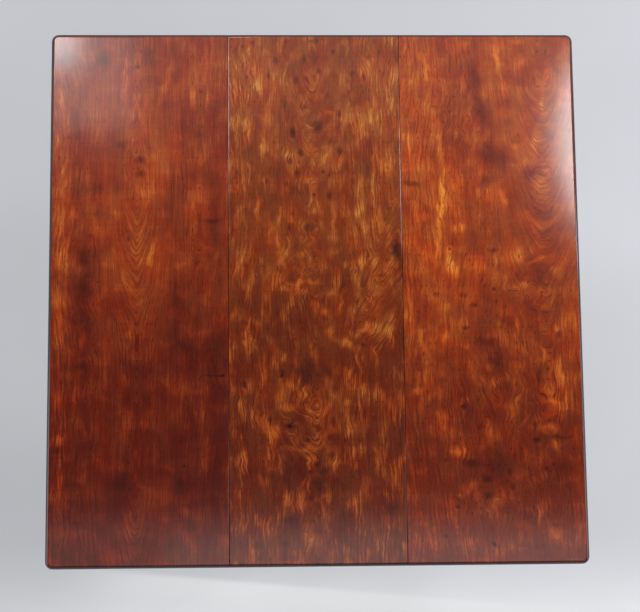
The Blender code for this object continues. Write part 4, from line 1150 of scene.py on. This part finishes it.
longStretcher = makeLongStretcher()
endStretcher = makeSpindle(stretcherSizes["half"], -stretcherSizes["endHalf"], stretcherSizes["endHalf"])
gateStretcher = makeSpindle(turnedSizes["postHalf"], stretcherSizes["gateNear"], stretcherSizes["gateFar"])
for sideName, side in sides.items():
    x = side * turnedSizes["frameX"]
    matrix = Matrix.Translation((x, 0, stretcherSizes["level"])) @ Matrix.Diagonal((side, 1, 1, 1))
    turnedPiece("long_stretcher", sideName, longStretcher, matrix, longWood, "frame")
    for endName, end in ends.items():
        tag = f"{sideName}_{endName}"
        matrix = Matrix.Translation((x, end * turnedSizes["postY"], stretcherSizes["gateLevel"]))
        matrix = matrix @ Matrix.Rotation(end * quarter, 4, "X")
        turnedPiece("gate_stretcher", tag, gateStretcher, matrix, longWood, f"gate_{tag}")
for endName, end in ends.items():
    matrix = Matrix.Translation((0, end * turnedSizes["legY"], stretcherSizes["level"]))
    matrix = matrix @ Matrix.Rotation(quarter, 4, "Y")
    turnedPiece("end_stretcher", endName, endStretcher, matrix, crossWood, "frame")
print("stretchers turned")

# Rails, blocks and hinge plates keep the solids' shapes with their arrises eased. The rails have pockets that
# the top is screwed through.

joinery = {
    "railArris": 0.0008, "blockArris": 0.0012, "plateArris": 0.0003,
    "shortest": 0.010, "shortestPlate": 0.0035, "smallEasedAbove": 60.0,
    "pocketInset": 0.0052, "pocketDrop": 0.014, "pocketLean": 26.0,
    "pocketsLong": (-0.2208, -0.1104, 0.1104, 0.2208), "pocketsEnd": (-0.0407, 0.0407),
    "railInner": 0.088, "endRailInner": 0.311,
}
eased = (
    ("gate_rail", longWood, "gate", "railArris"),
    ("gate_stop", crossWood, "leaf", "blockArris"),
    ("glue_block", pineLong, "frame", "blockArris"),
    ("hinge_board_plate", wroughtIron, "frame", "plateArris"),
    ("hinge_leaf_plate", wroughtIron, "leaf", "plateArris"),
    ("hinge_pin", wroughtIron, "frame", "plateArris"),
)


def easedPiece(kind, tag, material, body, arris, steepest=fitting["easedAbove"]):
    node = f"{kind}_{tag}"
    bm = copyOf(node)
    easeEdges(bm, joinery[arris], joinery["shortestPlate" if "plate" in kind else "shortest"], steepest)
    finishPiece(f"{kind}_eased_{tag}", bm, material, body, node)


def pocketAxis(face, inward):  # the seat's middle and the way the pocket runs down out of the rail
    lean = math.radians(joinery["pocketLean"])
    inward = Vector(inward)
    seat = Vector(face) - inward * joinery["pocketInset"]
    seat.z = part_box("long_rail_left")[1].z - joinery["pocketDrop"]
    return seat, inward * math.sin(lean) + Vector((0, 0, -math.cos(lean)))


pocketScrews = []
for sideName, side in sides.items():
    easedPiece("long_rail", sideName, longWood, "frame", "railArris")
    face = side * joinery["railInner"]
    pocketScrews += [pocketAxis((face, y, 0), (-side, 0, 0)) for y in joinery["pocketsLong"]]
for endName, end in ends.items():
    easedPiece("end_rail", endName, crossWood, "frame", "railArris")
    face = end * joinery["endRailInner"]
    pocketScrews += [pocketAxis((x, face, 0), (0, -end, 0)) for x in joinery["pocketsEnd"]]
    easedPiece("glue_block", endName, pineCross, "frame", "blockArris")
for tag, leaf, side, end in corners:
    bodies = {"gate": f"gate_{tag}", "leaf": leaf, "frame": "frame"}
    for kind, material, carrier, arris in eased:
        easedPiece(kind, tag, material, bodies[carrier], arris, joinery["smallEasedAbove"])
print("rails, blocks and plates eased")

# Fasteners: slotted screws and the pegs of the joints. Places on a plate or a block are shares of its box.

fastener = {
    "screwRadius": 0.0031, "screwFoot": 0.72, "screwDepth": 0.0008, "screwArris": 0.00012, "screwSides": 28,
    "slotWidth": 0.0007, "slotDepth": 0.0005, "slotReach": 0.01,
    "pegRadius": 0.0026, "pegDepth": 0.003, "pegProud": 0.0003, "pegArris": 0.0004, "pegSides": 9,
    "plates": {
        "hinge_board_plate": ((0.62, 0.18), (0.62, 0.82)),
        "hinge_leaf_plate": ((0.45, 0.2), (0.45, 0.8), (0.8, 0.5)),
    },
    "plateLevel": 0.6952, "plateProud": 0.00012,
    "stops": (0.25, 0.75), "stopProud": 0.0001, "stopInward": 0.001,
    "pocketProud": 0.0003,
    # turns that keep the slots and the pegs from lining up
    "plateSpins": (0.7, 1.3, 0.6), "stopSpins": (0.4, 1.9), "pocketSpin": 0.8, "pegSpins": (90, 70, 1.0),
    "railPegs": (0.662, 0.684), "legInward": 0.0065,
    "gatePegLevel": 0.6313, "gatePegs": (("postY", "postHalf", -0.0055), ("gateY", "legHalf", 0.0065)),
}


def makeScrew():  # the head looks along +Z, and its face is at the origin
    f = fastener
    middle = Matrix.Translation((0, 0, -f["screwDepth"] / 2))
    bm = cone(f["screwRadius"] * f["screwFoot"], f["screwRadius"], f["screwDepth"], middle, f["screwSides"])
    rims = [edge for edge in bm.edges if all(vert.co.z > -f["screwDepth"] / 2 for vert in edge.verts)]
    bevelEdges(bm, rims, f["screwArris"])
    reach, width = f["slotReach"], f["slotWidth"]
    return carve(bm, boxBetween((-reach, -width / 2, -f["slotDepth"]), (reach, width / 2, reach)))


def makePeg():  # cut by hand, so it has flats
    f = fastener
    middle = Matrix.Translation((0, 0, (f["pegProud"] - f["pegDepth"]) / 2))
    bm = cone(f["pegRadius"], f["pegRadius"], f["pegDepth"] + f["pegProud"], middle, f["pegSides"])
    rims = [edge for edge in bm.edges if all(vert.co.z > 0 for vert in edge.verts)]
    bevelEdges(bm, rims, f["pegArris"])
    return bm


def fasten(name, shape, material, body, places):  # each of these is (place, way it faces, spin)
    finishPiece(name, joined([placed(shape, facing(*place)) for place in places]), material, body)


screw, peg = makeScrew(), makePeg()
down = (0, 0, -1)
for tag, leaf, side, end in corners:
    f, s = fastener, turnedSizes
    for kind, body, outward in (("hinge_board_plate", "frame", -side), ("hinge_leaf_plate", leaf, side)):
        low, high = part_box(f"{kind}_{tag}")
        near, far = (low.x, high.x) if outward > 0 else (high.x, low.x)
        first, each, endwise = f["plateSpins"]
        heads = []
        for count, (across, along) in enumerate(f["plates"][kind]):
            x, y = near + (far - near) * across, low.y + (high.y - low.y) * along
            spin = first + each * count + side + endwise * end
            heads.append(((x, y, f["plateLevel"] - f["plateProud"]), down, spin))
        fasten(f"screws_{kind}_{tag}", screw, screwIron, body, heads)
    low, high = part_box(f"gate_stop_{tag}")
    y = (low.y + high.y) / 2 - end * f["stopInward"]
    first, each = f["stopSpins"]
    fasten(f"screws_gate_stop_{tag}", screw, screwIron, leaf, [
        ((low.x + (high.x - low.x) * share, y, low.z - f["stopProud"]), down, first + each * count)
        for count, share in enumerate(f["stops"])
    ])

    legX, legY, half, inward = side * s["frameX"], end * s["legY"], s["legHalf"], f["legInward"]
    outwardX, outwardY = (side, 0, 0), (0, end, 0)
    sideSpin, endSpin, lowSpin = f["pegSpins"]
    pegs = []
    for z in f["railPegs"]:
        pegs.append(((legX + side * half, legY - end * inward, z), outwardX, z * sideSpin))
        pegs.append(((legX - side * inward, legY + end * half, z), outwardY, z * endSpin))
    pegs.append(((legX + side * half, legY - end * inward, stretcherSizes["level"]), outwardX, lowSpin))
    fasten(f"pegs_corner_leg_{tag}", peg, pegMaterial, "frame", pegs)
    fasten(f"pegs_gate_{tag}", peg, pegMaterial, f"gate_{tag}", [
        ((legX + side * s[reach], end * (s[row] + offset), f["gatePegLevel"]), outwardX, s[row])
        for row, reach, offset in f["gatePegs"]
    ])

fasten("screws_top", screw, screwIron, "frame", [
    (seat + way * fastener["pocketProud"], way, count * fastener["pocketSpin"])
    for count, (seat, way) in enumerate(pocketScrews)
])
for shape in (screw, peg, cornerLeg, gateLeg, gatePost, longStretcher, endStretcher, gateStretcher):
    shape.free()
print("screws and pegs set")

# Floor, lamps and world

lamps = {  # place, what it faces, size, radiance, shape
    "leftSoftbox": ((-3.2, -0.6, 3.0), (0, 0, 0.5), (1.8, 2.2), 2.6, "RECTANGLE"),
    "rightSoftbox": ((3.4, -0.4, 3.0), (0, 0, 0.5), (1.8, 2.2), 2.4, "RECTANGLE"),
    "rightStrip": ((2.9, 0.82, 3.2), (0.4, 0.1, 0.711), (0.24, 0.8), 12.0, "RECTANGLE"),
    "cornerGlare": ((-0.84, 1.25, 2.90), (-0.84, 1.25, 0), (0.48, 0.46), 13.0, "RECTANGLE"),
    "cornerVeil": ((-0.85, 1.20, 2.91), (-0.85, 1.20, 0), (0.84, 0.74), 2.0, "RECTANGLE"),
    "edgeGlare": ((0.872, 0.75, 2.711), (0.872, 0.75, 0), (0.27, 0.54), 17.0, "ELLIPSE"),
    "bottomHaze": ((0.15, -0.60, 3.91), (0.15, -0.60, 0), (2.4, 0.72), 0.7, "RECTANGLE"),
    "bottomVeil": ((0.5, -0.66, 3.92), (0.5, -0.66, 0), (1.8, 0.72), 0.8, "RECTANGLE"),
}


def addLamp(name, place, aim, size, radiance, shape):
    data = bpy.data.lights.new(name, "AREA")
    data.shape = shape
    data.size, data.size_y = size
    area = size[0] * size[1] * (math.pi / 4 if shape == "ELLIPSE" else 1)
    data.energy = radiance * area * math.pi
    lamp = bpy.data.objects.new(name, data)
    lamp.location = place
    aimed = (Vector(aim) - Vector(place)).to_track_quat("-Z", "Y").to_euler()
    lamp.rotation_euler = (0, 0, 0) if aim[:2] == place[:2] else aimed
    lamp.visible_camera = False
    bpy.context.scene.collection.objects.link(lamp)


for name, settings in lamps.items():
    addLamp(name, *settings)

paper = {
    "size": 14.0,
    # The paper's colour holds painted light: it is brighter to the right.
    "left": (206, 207, 210), "right": (230, 230, 234), "sideways": (0.8, -0.5, 0), "sideEdge": (-0.6, 0.6),
    # painted shade, darker to the front left
    "dim": (180, 181, 184), "dimFront": (0.0, 0.3), "dimSide": (1.0, 0.2, 0.05, 0.35),
    # a painted pool of light, brighter across the front
    "frontLight": (252, 253, 255), "frontLightReach": (0.33, 0.6), "frontLightSide": (0.2, 0.7, 0.6, 1.6),
    # a fold across the paper, lit along its upper side
    "foldWay": (-0.093, -1, 0), "foldLit": (0.434, 0.447), "foldShade": (0.52, 0.455, 0.0, 1.0),
    "foldStart": (-0.5, -0.1), "foldEnd": (0.6, 0.4), "fold": (255, 255, 255),
    "blotches": 3.0, "blotchEdge": (0.3, 0.7, 0.0, 0.05), "blotch": (150, 152, 156),
    "lifted": 0.3, "rough": 0.8, "specular": 0.1,
}


def makeFloor():
    bm = bmesh.new()
    bmesh.ops.create_grid(bm, x_segments=8, y_segments=8, size=paper["size"] / 2)
    floor = showMesh("floor", bm)
    material, tree, shader, place = startMaterial("floorPaper")
    floor.data.materials.append(material)

    def shown(first, firstEdge, second, secondEdge):
        return times(tree, span(tree, first, *paper[firstEdge]), span(tree, second, *paper[secondEdge]))

    toRight = span(tree, measure(tree, place, paper["sideways"]), *paper["sideEdge"])
    toFront = measure(tree, place, (0, -1, 0))
    along, fold = measure(tree, place, (1, 0, 0)), measure(tree, place, paper["foldWay"])
    creased, ended = shown(fold, "foldLit", fold, "foldShade"), shown(along, "foldStart", along, "foldEnd")
    # Painted light on the paper: brighter to the right, painted shade to the front left, a painted pool of
    # light across the front, and a painted highlight along the fold.
    colour = blendColour(tree, toRight, tint(*paper["left"]), tint(*paper["right"]))
    for name, amount in (
        ("dim", shown(toFront, "dimFront", toRight, "dimSide")),
        ("frontLight", calc(tree, "MINIMUM", shown(toFront, "frontLightReach", toRight, "frontLightSide"), 1.0)),
        ("fold", times(tree, creased, ended)),
        ("blotch", span(tree, noise(tree, place, paper["blotches"], detail=3.0), *paper["blotchEdge"])),
    ):
        colour = blendColour(tree, amount, colour, tint(*paper[name]))
    seen = tree.nodes.new("ShaderNodeLightPath").outputs
    lifted = times(tree, calc(tree, "MAXIMUM", seen["Is Camera Ray"], seen["Is Glossy Ray"]), paper["lifted"])
    wire(tree, shader, {
        "Base Color": blendColour(tree, lifted, colour, tint(0, 0, 0)),
        "Emission Color": colour,
        "Emission Strength": lifted,
        "Roughness": paper["rough"],
        "Specular IOR Level": paper["specular"],
    })


makeFloor()

sky = {
    "colour": (236, 240, 246),
    "rise": (0.35, 0.85, 1.12, 0.03),  # from the horizon's strength to the zenith's
    "hazeBack": (0.20, 0.33, 0.0, 0.8), "hazeUp": (0.5, 0.8),
}
world = bpy.data.worlds.new("studio")
bpy.context.scene.world = world
world.use_nodes = True
tree = world.node_tree
way = parted(tree, tree.nodes.new("ShaderNodeTexCoord").outputs["Generated"])
haze = times(tree, span(tree, way[1], *sky["hazeBack"]), span(tree, way[2], *sky["hazeUp"]))
strength = calc(tree, "ADD", span(tree, way[2], *sky["rise"]), haze)
wire(tree, tree.nodes["Background"].inputs, {"Strength": strength, "Color": tint(*sky["colour"])})
bpy.context.scene.view_settings.view_transform = "Standard"
print("studio lit")
